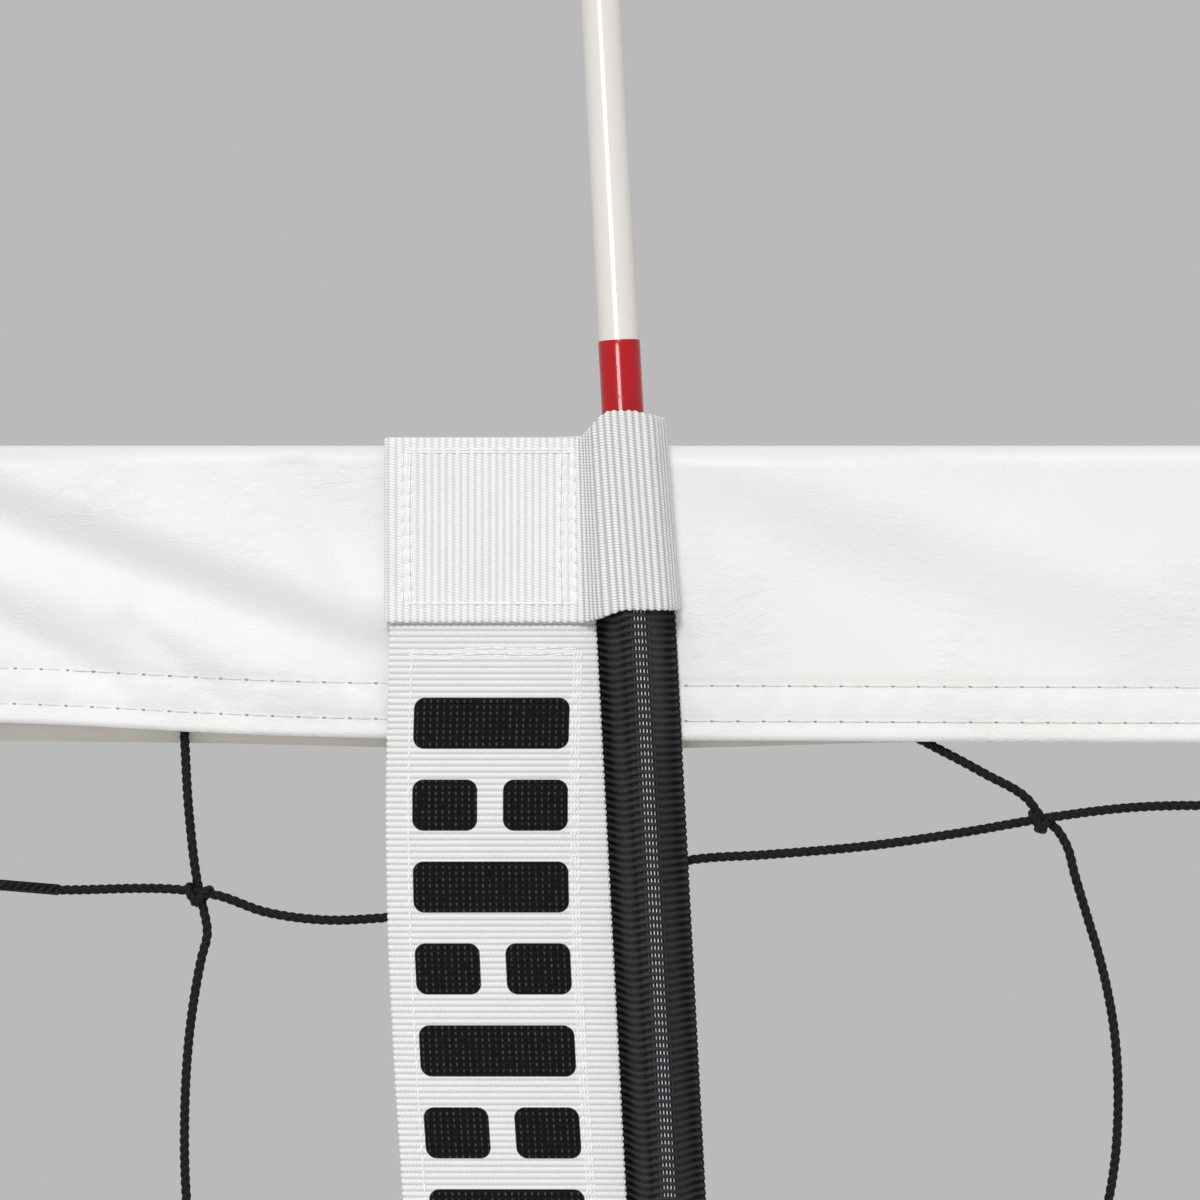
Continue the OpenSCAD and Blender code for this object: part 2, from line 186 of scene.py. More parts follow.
def crease(x, z, start, end, width, depth):
    """A soft trough along a line on the cloth, dying away past both of its ends."""
    start, end = np.array(start) * MM, np.array(end) * MM
    run = end - start
    t = ((x - start[0]) * run[0] + (z - start[1]) * run[1]) / (run @ run)
    across = ((x - start[0]) * run[1] - (z - start[1]) * run[0]) / math.sqrt(run @ run)
    inside = np.clip(1 - np.abs(t - 0.5) * 1.1, 0, 1)
    return depth * MM * np.exp(-(across / (width * MM)) ** 2) * np.clip(inside * 3, 0, 1)


def ripple(x, z, seed, waves=7):
    """Slow uneven waves, between about -1 and 1, that die away under the end tapes."""
    rng = np.random.default_rng(seed)
    total = 0
    for _ in range(waves):
        kx, kz = rng.uniform(12, 60), rng.uniform(-45, 45)
        total = total + np.sin(kx * x + kz * z + rng.uniform(0, 6.28))
    held = np.clip((net_high[0] - UNDER_TAPE - np.abs(x)) / (40 * MM), 0, 1)
    return total / waves * 1.6 * held


def front_hem(x):
    """Height of the front panel's lower edge: it rides up where the folds take up cloth."""
    u = (x - MARKER_X) / MM
    return net_low[2] + MM * (0.5 + 3.9 * np.exp(-((u + 150) / 62) ** 2) + 0.5 * np.sin(x * 9.0))


def back_hem(x):
    """Height of the back panel's lower edge: it hangs lower behind the marker."""
    u = (x - MARKER_X) / MM
    return net_low[2] + MM * (0.2 - 2.4 * np.exp(-((u + 5) / 75) ** 2) + 0.5 * np.sin(x * 7.0 + 1))


STITCH_ROWS = (4.6 * MM, 12.9 * MM)       # up from the hem
STITCH_PITCH = 6.1 * MM
SEWN_DEEP, SEWN_WIDE = 0.45 * MM, 1.1 * MM       # the furrow that a row of sewing draws into the cloth
FRONT_ROOM, BACK_ROOM = 1.6 * MM, 1.2 * MM       # how far the panels can go in before they meet the cable
# each crease of the front panel: where it starts and ends, from the marker's outer edge and the
# net's top, its width, and how far it stands out, all in millimetres
CREASES = (
    ((-150, -1.5), (-60, -34), 8, 2.3), ((-150, -15), (-38, -56), 7, -2.2),
    ((-150, -24), (-62, -54), 9, 1.5), ((-150, -36), (-118, -52), 5, -1.6),
    ((-104, -44), (-88, -58), 3.5, -0.9), ((-68, -6), (-50, -42), 6, -0.9),
    ((22, -20), (30, -62), 6, 0.8), ((45, -6), (130, -34), 8, 1.2), ((40, -22), (125, -54), 9, -1.0),
)


def furrows(rise):
    """1 in the middle of each row of sewing, at a height above the hem, and 0 well away from them."""
    return sum(np.exp(-((rise - row) / SEWN_WIDE) ** 2) for row in STITCH_ROWS)


def front_bulge(x, z):
    """How far the front panel stands out of its flat place."""
    u = x - MARKER_X
    out = 0.9 * MM * ripple(x, z, 3) * np.clip(-z / (20 * MM), 0, 1)
    near = np.exp(-((u / MM + 20) / 330) ** 4)
    out = out * (1 - 0.65 * near)
    for start, end, width, depth in CREASES:
        out = out + crease(u, z, start, end, width, depth)
    rise = z - front_hem(x)
    out = out - (SEWN_DEEP + 0.15 * MM * np.cos(2 * np.pi * x / STITCH_PITCH)) * furrows(rise)
    lift = np.exp(-((rise - sum(STITCH_ROWS) / 2) / (3 * MM)) ** 2)
    out = out + 0.16 * MM * lift * np.sin(2 * np.pi * x / (2.1 * STITCH_PITCH) + 3 * np.sin(x * 40))
    return np.maximum(out, -FRONT_ROOM)


def back_bulge(x, z):
    """How far the back panel stands out of its flat place."""
    out = 0.9 * MM * ripple(x, z, 8) * np.clip(-z / (20 * MM), 0, 1)
    return np.maximum(out - SEWN_DEEP * furrows(z - back_hem(x)), -BACK_ROOM)


FRONT_N, ARC_N, BACK_N = 46, 9, 26        # points up the front, over the fold and down the back


def band_points(x, front_hem, back_hem, front_bulge, back_bulge, front_n=FRONT_N, back_n=BACK_N):
    """Closed sections along x: up the front, over the fold and down the back, then back inside."""
    x = x[:, None]
    up = np.linspace(0, 1, front_n)[None, :]
    down = np.linspace(0, 1, back_n)[None, :]
    turn = np.linspace(0, np.pi, ARC_N)[None, 1:-1]
    parts = []
    for skin, inside in ((0, False), (CLOTH, True)):
        r = HALF - skin
        zf = front_hem(x) + (-HALF - front_hem(x)) * up
        yf = -r - front_bulge(x, zf)
        zb = -HALF + (back_hem(x) + HALF) * down
        yb = r + back_bulge(x, zb)
        za = -HALF + r * np.sin(turn) + 0 * x
        ya = -r * np.cos(turn) + 0 * x
        ring_y = np.concatenate([yf, ya, yb], 1)
        ring_z = np.concatenate([zf, za, zb], 1)
        if inside:
            # the hidden skin needs only every third point of its flat parts
            keep = np.r_[0:front_n:3, front_n:front_n + ARC_N - 2, front_n + ARC_N:ring_y.shape[1]:3]
            keep = np.unique(np.append(keep, ring_y.shape[1] - 1))[::-1]
            ring_y, ring_z = ring_y[:, keep], ring_z[:, keep]
        parts.append((ring_y, ring_z))
    y = np.concatenate([parts[0][0], parts[1][0]], 1)
    z = np.concatenate([parts[0][1], parts[1][1]], 1)
    return np.stack([x + 0 * y, y, z], 2)


NEAR = (MARKER_X - 170 * MM, MARKER_X + 170 * MM)        # where the folds are, and the mesh is fine
HEAD_FACES = (front_hem, back_hem, front_bulge, back_bulge)
band_x = spaced(NEAR, (net_low[0], net_high[0]), 1.35 * MM, 15 * MM)
band_grid = band_points(band_x, *HEAD_FACES)
head_band = lay_mesh("head_band_cloth", band_grid)


def new_finish(name, colour, roughness, **constants):
    """A material with its Principled shader's plain values set; returns its tree and shader."""
    finish = bpy.data.materials.new(name)
    finish.use_nodes = True
    shader = finish.node_tree.nodes["Principled BSDF"]
    shader.inputs["Base Color"].default_value = (*colour, 1)
    shader.inputs["Roughness"].default_value = roughness
    for socket, value in constants.items():
        shader.inputs[socket.replace("_", " ")].default_value = value
    return finish, finish.node_tree, shader


def put(tree, kind, links=(), **settings):
    """Adds a node, sets its plain values by name, and links (output, input name or index) pairs into it."""
    node = tree.nodes.new(kind)
    for key, value in settings.items():
        if hasattr(node, key):
            setattr(node, key, value)
        else:
            node.inputs[key.replace("_", " ")].default_value = value
    for output, entry in links:
        tree.links.new(output, node.inputs[entry])
    return node


def calc(tree, operation, *values):
    """A Math node; a value is a number or another node's output."""
    node = tree.nodes.new("ShaderNodeMath")
    node.operation = operation
    for entry, value in zip(node.inputs, values):
        if isinstance(value, (int, float)):
            entry.default_value = value
        else:
            tree.links.new(value, entry)
    return node.outputs[0]


def noise(tree, scale, detail, spot=None, **settings):
    """A noise texture, placed by the piece's own coordinates or by another node's output."""
    if spot is None:
        spot = put(tree, "ShaderNodeTexCoord").outputs["Object"]
    return put(tree, "ShaderNodeTexNoise", [(spot, "Vector")], Scale=scale, Detail=detail, **settings)


def mottle_group():
    """Slow uneven tinting of a colour, and the cloud that it follows as a mask. Every finish uses it."""
    group = bpy.data.node_groups.new("mottle", "ShaderNodeTree")
    for label, low in (("Scale", 60.0), ("Depth", 0.05)):
        group.interface.new_socket(label, in_out="INPUT", socket_type="NodeSocketFloat").default_value = low
    group.interface.new_socket("Colour", in_out="INPUT", socket_type="NodeSocketColor")
    group.interface.new_socket("Colour", in_out="OUTPUT", socket_type="NodeSocketColor")
    group.interface.new_socket("Mask", in_out="OUTPUT", socket_type="NodeSocketFloat")
    entry, leave = put(group, "NodeGroupInput"), put(group, "NodeGroupOutput")
    cloud = noise(group, 1.0, 6.0)
    group.links.new(entry.outputs["Scale"], cloud.inputs["Scale"])
    swing = calc(group, "MULTIPLY", calc(group, "SUBTRACT", cloud.outputs["Fac"], 0.5), entry.outputs["Depth"])
    gain = calc(group, "MULTIPLY_ADD", swing, 2.0, 1.0)
    tint = put(group, "ShaderNodeVectorMath", [(entry.outputs["Colour"], 0), (gain, 1)], operation="MULTIPLY")
    group.links.new(tint.outputs[0], leave.inputs["Colour"])
    group.links.new(cloud.outputs["Fac"], leave.inputs["Mask"])
    return group


MOTTLE = mottle_group()


def mottled(tree, shader, scale, depth):
    """Puts the mottle group before a shader's colour."""
    node = put(tree, "ShaderNodeGroup", node_tree=MOTTLE)
    node.inputs["Scale"].default_value = scale
    node.inputs["Depth"].default_value = depth
    node.inputs["Colour"].default_value = shader.inputs["Base Color"].default_value
    tree.links.new(node.outputs["Colour"], shader.inputs["Base Color"])
    return node


vinyl, tree, shader = new_finish("coated_cloth", (0.82, 0.82, 0.812), 0.45, Coat_Weight=0.05,
                                 Coat_Roughness=0.35, Specular_IOR_Level=0.4)
mottled(tree, shader, 30, 0.025)
# a leather-like grain is pressed into the coating, and in patches the cloth under it is wrinkled
place = put(tree, "ShaderNodeTexCoord")
stretch = put(tree, "ShaderNodeMapping", [(place.outputs["Object"], "Vector")], Scale=(1.0, 1.0, 1.9))
grain = put(tree, "ShaderNodeTexVoronoi", [(stretch.outputs[0], "Vector")], feature="DISTANCE_TO_EDGE",
            Scale=620.0)
grain_line = put(tree, "ShaderNodeMapRange", [(grain.outputs["Distance"], "Value")], From_Max=0.14)
wrinkle = noise(tree, 170.0, 7.0, stretch.outputs[0], Roughness=0.68, Distortion=0.7)
patch = put(tree, "ShaderNodeMapRange", [(noise(tree, 22.0, 2.0).outputs["Fac"], "Value")],
            From_Min=0.42, From_Max=0.66)
deep = calc(tree, "MULTIPLY", wrinkle.outputs["Fac"], patch.outputs[0])
fine = put(tree, "ShaderNodeBump", [(grain_line.outputs[0], "Height")], Distance=0.04 * MM, Strength=0.6)
coarse = put(tree, "ShaderNodeBump", [(deep, "Height"), (fine.outputs[0], "Normal")],
             Distance=0.9 * MM, Strength=0.55)
tree.links.new(coarse.outputs[0], shader.inputs["Normal"])
rough = put(tree, "ShaderNodeMapRange", [(wrinkle.outputs["Fac"], "Value")], To_Min=0.38, To_Max=0.58)
tree.links.new(rough.outputs[0], shader.inputs["Roughness"])

head_band.data.materials.append(vinyl)
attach(head_band, "net")
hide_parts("head_band")

# the lining's warm beige is painted light, shining through the cloth where the inside shows under the hem
lining_painted_light, tree, shader = new_finish("lining_painted_light", (0.80, 0.765, 0.70), 0.8)
mottled(tree, shader, 120, 0.08)
outer = FRONT_N + ARC_N - 2 + BACK_N - 1         # columns of the coated outside; the rest is the lining
cols = band_grid.shape[1]
lined = np.zeros(len(head_band.data.polygons), np.int32)
lined[:(len(band_grid) - 1) * cols] = np.tile(np.arange(cols) >= outer, len(band_grid) - 1)
head_band.data.materials.append(lining_painted_light)
head_band.data.polygons.foreach_set("material_index", lined)

# ---------------------------------------------------------------- head band sewing
# Two rows of thick white thread on each face, a few millimetres above the hem, drawn down into
# the cloth. Each stitch is a short length of thread that dives into a needle hole at both ends.
THREAD_R = 0.22 * MM
THREAD_LIE = 0.14 * MM            # how far a stitch's middle stands off the cloth


def stitch_points(centres, along, out, length, radius, sides, rings, dive):
    """Short bowed lengths of thread, one for each centre; returns their vertices and faces."""
    across = np.cross(along, out)
    t = np.linspace(-1, 1, rings)
    a = np.linspace(0, 2 * np.pi, sides, endpoint=False)
    thick = radius * (0.35 + 0.65 * np.sqrt(1 - t ** 2 * 0.96))
    lift = THREAD_LIE - (THREAD_LIE + dive * radius) * t ** 4
    spot = (centres[:, None, None, :] + along[:, None, None, :] * (t * length / 2)[None, :, None, None]
            + out[:, None, None, :] * (lift[:, None] + thick[:, None] * np.sin(a))[None, :, :, None]
            + across[:, None, None, :] * (thick[:, None] * np.cos(a))[None, :, :, None])
    n = len(centres)
    block = rings * sides
    r, c = np.arange(rings - 1)[:, None], np.arange(sides)[None, :]
    one = np.stack([r * sides + c, r * sides + (c + 1) % sides,
                    (r + 1) * sides + (c + 1) % sides, (r + 1) * sides + c], -1).reshape(-1, 4)
    quads = (np.arange(n)[:, None, None] * block + one[None]).reshape(-1, 4).tolist()
    for i in range(n):
        quads.append([i * block + k for k in range(sides)][::-1])
        quads.append([i * block + block - sides + k for k in range(sides)])
    return spot.reshape(-1, 3), quads


def sew(name, runs, pitch, length=None, radius=THREAD_R, sides=6, rings=5, dive=1.3, offset=0.5):
    """One piece of sewing from several runs; a run is (points, outward normals), evenly resampled.
    dive is how deep a stitch's ends go, in radii, and offset where the first one's middle is, in pitches."""
    verts, faces, start = [], [], 0
    for points, normals in runs:
        points, normals = np.asarray(points, float), np.asarray(normals, float)
        step = np.linalg.norm(np.diff(points, axis=0), axis=1)
        reach = np.concatenate([[0], np.cumsum(step)])
        count = max(1, int(reach[-1] / pitch))
        at = (np.arange(count) + offset) * reach[-1] / count
        centre = np.stack([np.interp(at, reach, points[:, k]) for k in range(3)], 1)
        ahead = np.stack([np.interp(at + pitch / 4, reach, points[:, k]) for k in range(3)], 1)
        behind = np.stack([np.interp(at - pitch / 4, reach, points[:, k]) for k in range(3)], 1)
        along = ahead - behind
        along /= np.linalg.norm(along, axis=1)[:, None]
        out = np.stack([np.interp(at, reach, normals[:, k]) for k in range(3)], 1)
        out -= along * np.sum(out * along, 1)[:, None]
        out /= np.linalg.norm(out, axis=1)[:, None]
        v, f = stitch_points(centre, along, out, length or pitch * 0.84, radius, sides, rings, dive)
        verts.append(v)
        faces += [[k + start for k in face] for face in f]
        start += len(v)
    mesh = bpy.data.meshes.new(name)
    mesh.from_pydata(np.concatenate(verts).tolist(), [], faces)
    mesh.polygons.foreach_set("use_smooth", [True] * len(mesh.polygons))
    face_outward(mesh)
    piece = bpy.data.objects.new(name, mesh)
    bpy.context.scene.collection.objects.link(piece)
    return piece


def band_rows(x, front_hem, back_hem, front_bulge, back_bulge, rows, up=1):
    """The lines that a band's four rows of stitches follow on its two faces."""
    runs = []
    for row in rows:
        z = front_hem(x) + up * row
        runs.append((np.stack([x, -HALF - front_bulge(x, z), z], 1), np.tile([0, -1.0, 0], (len(x), 1))))
        z = back_hem(x) + up * row
        runs.append((np.stack([x, HALF + back_bulge(x, z), z], 1), np.tile([0, 1.0, 0], (len(x), 1))))
    return runs


thread_white, tree, shader = new_finish("white_thread", (0.72, 0.70, 0.66), 0.6, Sheen_Weight=0.3)
mottled(tree, shader, 900, 0.12)
place = put(tree, "ShaderNodeTexCoord")
twist = put(tree, "ShaderNodeTexNoise", [(place.outputs["Object"], "Vector")], Scale=4200.0, Detail=2.0)
fuzz = put(tree, "ShaderNodeBump", [(twist.outputs["Fac"], "Height")], Distance=0.00008, Strength=0.7)
tree.links.new(fuzz.outputs[0], shader.inputs["Normal"])

sewn_x = np.arange(net_low[0] + UNDER_TAPE, net_high[0] - UNDER_TAPE, STITCH_PITCH / 4)
# painted shade: the dark colour of the blobs put in the needle holes
needle_hole_shade, tree, shader = new_finish("needle_hole_shade", (0.34, 0.33, 0.31), 0.8)
mottled(tree, shader, 900, 0.3)
head_runs = band_rows(sewn_x, front_hem, back_hem, front_bulge, back_bulge, STITCH_ROWS)
head_sewing = sew("head_band_sewing", head_runs, STITCH_PITCH, STITCH_PITCH * 0.98, radius=0.19 * MM,
                  sides=5, rings=6, dive=0.6)
head_sewing.data.materials.append(thread_white)
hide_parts("head_band_stitching")
# where two stitches meet, the thread goes down into a needle hole; a dark blob of thread there is painted shade
head_hole_shade = sew("head_band_painted_hole_shade", head_runs, STITCH_PITCH, 1.5 * MM, radius=0.24 * MM, sides=5,
                 rings=4, dive=1.5, offset=1.0)
head_hole_shade.data.materials.append(needle_hole_shade)
for piece in (head_sewing, head_hole_shade):
    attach(piece, "net")

# ---------------------------------------------------------------- netting
# Black twisted cord, three strands, knotted into 100 mm square meshes. No mesh hangs quite
# square: the knots sit a little off, and beside the markers the cords are dragged well aside.
CORD_R = 1.3 * MM
LAY = 6 * MM                      # one full turn of the strands
MESH = 100 * MM
upright_low, upright_high = (np.array(c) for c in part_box("netting_uprights"))
row_low, row_high = (np.array(c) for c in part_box("netting_rows"))
columns = np.arange(upright_low[0] + CORD_R, upright_high[0], MESH)
rows = np.arange(-MESH, -NET_H + 1 * MM, -MESH)
scatter = np.random.default_rng(12)
knots = np.zeros((len(columns), len(rows), 3))
knots[:, :, 0] = columns[:, None] + np.clip(scatter.normal(0, 2.5 * MM, knots.shape[:2]), -6 * MM, 6 * MM)
knots[:, :, 2] = rows[None, :] + np.clip(scatter.normal(0, 3.0 * MM, knots.shape[:2]), -7 * MM, 7 * MM)
knots[[0, -1], :, 0] = columns[[0, -1], None]
BY_MARKER = len(columns) - 3      # the column that the right marker hides
# first row of knots and the cords' ways there, from the marker's outer edge, in millimetres
KNOTS = {-1: (-91.5, -105.2), 0: (3.1, -103.3), 1: (107.5, -87.9)}
DRAGGED = (119, -198)             # the next knot below the last of them
ROUTES = {
    -1: ([(-97, -12), (-96.4, -40), (-95.0, -68.1), (-93.8, -88)],
         [(-90.6, -109), (-89.6, -115), (-91.0, -121), (-93.5, -136), (-95, -165)]),
    0: ([(4, -12), (4.5, -60)], [(2, -112), (4, -140)]),
    1: ([(30, -12), (36, -44), (58, -58.4), (79.4, -69.7), (93.7, -77.3), (104.2, -83.6)],
        [(110.6, -90.2), (113.1, -94), (115.2, -101.4), (118.5, -112.4), (120.8, -120), (124.2, -136), (125, -165)]),
}
ROW_ROUTE = [(-124.4, -104.7), None, (-87.5, -105.9), (-75.8, -109.9), (-63.6, -111.7), (-46.7, -111.2),
             (-20, -107.5), None, (24.2, -97.7), (42.5, -96.4), (66, -94.4), (90.9, -90.8), None,
             (130.1, -85.2), (160, -85.8), (190, -92)]
RIGHT, LEFT = np.array([1, 1, 1]), np.array([-1, -1, 1])


def by_marker(spot, y, spin):
    return np.array([MARKER_X + spot[0] * MM, y, spot[1] * MM]) * spin


knots[BY_MARKER + 1, 1] = by_marker(DRAGGED, 0, RIGHT)
knots[len(columns) - 2 - BY_MARKER, 1] = by_marker(DRAGGED, 0, LEFT)
for shift, spot in KNOTS.items():
    knots[BY_MARKER + shift, 0] = by_marker(spot, 0, RIGHT)
    knots[len(columns) - 1 - BY_MARKER - shift, 0] = by_marker(spot, 0, LEFT)


def smooth(points, step):
    """An even run of points on a smooth curve through the given ones."""
    points = np.asarray(points, float)
    chord = np.concatenate([[0], np.cumsum(np.linalg.norm(np.diff(points, axis=0), axis=1))])
    slope = np.gradient(points, chord, axis=0)
    at = np.linspace(0, chord[-1], max(3, int(round(chord[-1] / step)) + 1))
    k = np.clip(np.searchsorted(chord, at, side="right") - 1, 0, len(chord) - 2)
    h = (chord[k + 1] - chord[k])[:, None]
    t = (at - chord[k])[:, None] / h
    return ((1 + 2 * t) * (1 - t) ** 2 * points[k] + t * (1 - t) ** 2 * h * slope[k]
            + t * t * (3 - 2 * t) * points[k + 1] + t * t * (t - 1) * h * slope[k + 1])


def frames_along(path, hint):
    """Two directions square to a path at each point; hint is any direction that the path never takes."""
    ahead = np.gradient(path, axis=0)
    ahead /= np.linalg.norm(ahead, axis=1)[:, None]
    one = np.cross(ahead, hint)
    one /= np.linalg.norm(one, axis=1)[:, None]
    return one, np.cross(ahead, one)


def tube_parts(path, radius, sides, hint=(0, 1.0, 0), closed=False):
    """Rings of points round a path, with the distances round and along it."""
    one, two = frames_along(path, np.array(hint))
    angle = np.linspace(0, 2 * np.pi, sides, endpoint=False)
    radius = np.broadcast_to(radius, (len(path),))[:, None, None]
    ring = (path[:, None, :] + radius * (one[:, None, :] * np.cos(angle)[None, :, None]
                                         + two[:, None, :] * np.sin(angle)[None, :, None]))
    along = np.concatenate([[0], np.cumsum(np.linalg.norm(np.diff(path, axis=0), axis=1))])
    weave = np.stack([np.broadcast_to(angle / (2 * np.pi), (len(path), sides)),
                      np.broadcast_to(along[:, None], (len(path), sides))], 2)
    return ring, weave


def strands(path, strand_r=0.58 * MM, helix_r=0.60 * MM, lay=LAY, hint=(0, 1.0, 0)):
    """The three strands of a twisted cord that follows a path."""
    one, two = frames_along(path, np.array(hint))
    along = np.concatenate([[0], np.cumsum(np.linalg.norm(np.diff(path, axis=0), axis=1))])
    found = []
    for strand in range(3):
        turn = (2 * np.pi * (along / lay + strand / 3))[:, None]
        found.append(tube_parts(path + helix_r * (np.cos(turn) * one + np.sin(turn) * two), strand_r, 8, hint))
    return found


def bundle(name, tubes):
    """One mesh from many tubes, each closed at both of its ends."""
    verts, faces, weaves, start = [], [], [], 0
    for ring, weave in tubes:
        n, sides = ring.shape[:2]
        r, c = np.arange(n - 1)[:, None], np.arange(sides)[None, :]
        quad = np.stack([r * sides + c, r * sides + (c + 1) % sides,
                         (r + 1) * sides + (c + 1) % sides, (r + 1) * sides + c], -1).reshape(-1, 4) + start
        faces += quad.tolist()
        faces.append((np.arange(sides)[::-1] + start).tolist())
        faces.append((np.arange(sides) + (n - 1) * sides + start).tolist())
        verts.append(ring.reshape(-1, 3))
        weaves.append(weave.reshape(-1, 2))
        start += n * sides
    mesh = bpy.data.meshes.new(name)
    mesh.from_pydata(np.concatenate(verts).tolist(), [], faces)
    layer = mesh.uv_layers.new(name="cloth")
    loops = np.zeros(len(mesh.loops), np.int32)
    mesh.loops.foreach_get("vertex_index", loops)
    layer.data.foreach_set("uv", np.concatenate(weaves)[loops].astype(np.float32).ravel())
    mesh.polygons.foreach_set("use_smooth", [True] * len(mesh.polygons))
    face_outward(mesh)
    piece = bpy.data.objects.new(name, mesh)
    bpy.context.scene.collection.objects.link(piece)
    return piece


def cloth_coordinates(tree):
    """A piece's own coordinates, across or round it and along it."""
    spot = put(tree, "ShaderNodeUVMap", uv_map="cloth")
    split = put(tree, "ShaderNodeSeparateXYZ", [(spot.outputs[0], "Vector")])
    return split.outputs["X"], split.outputs["Y"]


def laid_finish(name, colour, roughness, strands_round, lay, depth, **constants):
    """Laid cord: strands that wind round it, as a bump."""
    finish, tree, shader = new_finish(name, colour, roughness, **constants)
    mottled(tree, shader, 300, 0.15)
    around, along = cloth_coordinates(tree)
    turns = calc(tree, "MULTIPLY", calc(tree, "ADD", around, calc(tree, "DIVIDE", along, lay)), strands_round)
    wave = calc(tree, "ABSOLUTE", calc(tree, "SINE", calc(tree, "MULTIPLY", turns, math.pi)))
    bump = put(tree, "ShaderNodeBump", [(wave, "Height")], Distance=depth, Strength=1.0)
    tree.links.new(bump.outputs[0], shader.inputs["Normal"])
    return finish


CORD_BLACK = (0.006, 0.006, 0.007)
laid_cord = laid_finish("laid_net_cord", CORD_BLACK, 0.6, 3, LAY, 0.0007, Specular_IOR_Level=0.22)
strand_yarn = laid_finish("net_cord_strand", CORD_BLACK, 0.55, 5, -2.4 * MM, 0.00012, Specular_IOR_Level=0.25)


def wander(a, b, amount, across):
    """A point near the middle between two knots, a little to one side."""
    middle = (a + b) / 2
    middle[across] += scatter.normal(0, amount)
    return middle


UPRIGHT_Y, ROW_Y = 0.75 * MM, -0.75 * MM
COARSE, FINE = 12 * MM, 0.7 * MM
plain, twisted = [], []
for i, x in enumerate(columns):
    spin = RIGHT if x > 0 else LEFT
    shift = (i if x > 0 else len(columns) - 1 - i) - BY_MARKER
    chain = [knots[i, k] for k in range(len(rows))] + [np.array([x, 0, -NET_H + 12 * MM])]
    if shift in ROUTES:
        above, below = ROUTES[shift]
        near = [by_marker(p, 0, spin) for p in above] + [chain[0]] + [by_marker(p, 0, spin) for p in below]
        near = smooth([p + (0, UPRIGHT_Y, 0) for p in near + [chain[1]]], FINE)
        twisted += strands(near)
    else:
        chain = [np.array([x, 0, -12 * MM])] + chain
    if shift in ROUTES:
        chain = chain[1:]
    route = [chain[0]]
    for a, b in zip(chain, chain[1:]):
        route += [wander(a, b, 0 if i in (0, len(columns) - 1) else 1.3 * MM, 0), b]
    plain.append(tube_parts(smooth([p + (0, UPRIGHT_Y, 0) for p in route], COARSE), CORD_R, 6))
uprights = bundle("netting_upright_cords", plain)
plain = []
for k in range(len(rows[rows > -NET_H + 1.5 * MESH / 2])):
    chain = [knots[i, k] for i in range(len(columns))]
    chain = [np.array([row_low[0], 0, chain[0][2]])] + chain + [np.array([row_high[0], 0, chain[-1][2]])]
    spans = [chain]
    if k == 0:
        for spin in (RIGHT, LEFT):
            hidden = [by_marker(KNOTS[s], 0, RIGHT) for s in (-1, 0, 1)]
            near = [hidden.pop(0) if spot is None else by_marker(spot, 0, RIGHT) for spot in ROW_ROUTE]
            near = smooth([p * spin + (0, ROW_Y, 0) for p in near], FINE)
            twisted += strands(near)
        first, last = by_marker(ROW_ROUTE[0], 0, RIGHT), by_marker(ROW_ROUTE[-1], 0, RIGHT)
        spans = [chain[:2] + [last * LEFT], [first * LEFT] + chain[5:-5] + [first], [last] + chain[-2:]]
    for span in spans:
        route = [span[0]]
        for a, b in zip(span, span[1:]):
            route += [wander(a, b, 1.3 * MM * (abs(b[0] - a[0]) > MESH / 2), 2), b]
        plain.append(tube_parts(smooth([p + (0, ROW_Y, 0) for p in route], COARSE), CORD_R, 6))
row_cords = bundle("netting_row_cords", plain)
dragged_cords = bundle("netting_cords_by_markers", twisted)


def knot_tubes(centre, spin, sides_fine):
    """Two turns of cord drawn tight round the crossing, at different slants."""
    found = []
    for slant, slip in ((32, -1.35), (-52, 1.25)):
        a = math.radians(slant)
        axis, out = np.array([math.cos(a), 0, math.sin(a)]), np.array([-math.sin(a), 0, math.cos(a)])
        t = np.linspace(0, 2 * np.pi, 30 if sides_fine else 9)[:, None]
        ring = (np.cos(t) * out * 2.25 + np.sin(t) * np.array([0, 1, 0]) * 2.0 + axis * (slip + 0.4 * np.sin(t)))
        path = (centre + ring * MM) if spin is None else (centre + ring * MM * spin)
        if sides_fine:
            found += strands(path, hint=tuple(axis), lay=4.5 * MM)
        else:
            found.append(tube_parts(path, 1.3 * MM, 5, tuple(axis)))
    return found


fine_knots, plain_knots = [], []
for i, x in enumerate(columns):
    for k in range(len(rows[rows > -NET_H + 1.5 * MESH / 2])):
        if i in (0, len(columns) - 1):
            continue
        is_near = k == 0 and min(abs(i - BY_MARKER), abs(len(columns) - 1 - i - BY_MARKER)) <= 1
        (fine_knots if is_near else plain_knots).extend(knot_tubes(knots[i, k], None, is_near))
near_knots = bundle("netting_knots_by_markers", fine_knots)
far_knots = bundle("netting_knots", plain_knots)
for piece, finish, nodes in ((uprights, laid_cord, ["netting_uprights"]), (row_cords, laid_cord, ["netting_rows"]),
                             (dragged_cords, strand_yarn, []), (near_knots, strand_yarn, []),
                             (far_knots, laid_cord, [])):
    piece.data.materials.append(finish)
    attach(piece, "net")
    if nodes:
        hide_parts(*nodes)

# ---------------------------------------------------------------- foot band
# The same coated cloth, narrower, folded up round the foot rope and sewn shut above it.
foot_low, foot_high = (np.array(c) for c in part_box("foot_band"))
FOOT_H = foot_high[2] - foot_low[2]


def foot_hem(x):
    return -FOOT_H + 0.5 * MM * np.sin(x * 8.0 + 2)


def foot_bulge(x, z):
    out = 0.8 * MM * ripple(x, z, 21) * np.clip(-z / (12 * MM), 0, 1)
    for row in STITCH_ROWS:
        out = out - 0.45 * MM * np.exp(-((z - foot_hem(x) - row) / (1.1 * MM)) ** 2)
    return np.maximum(out, -1.2 * MM)


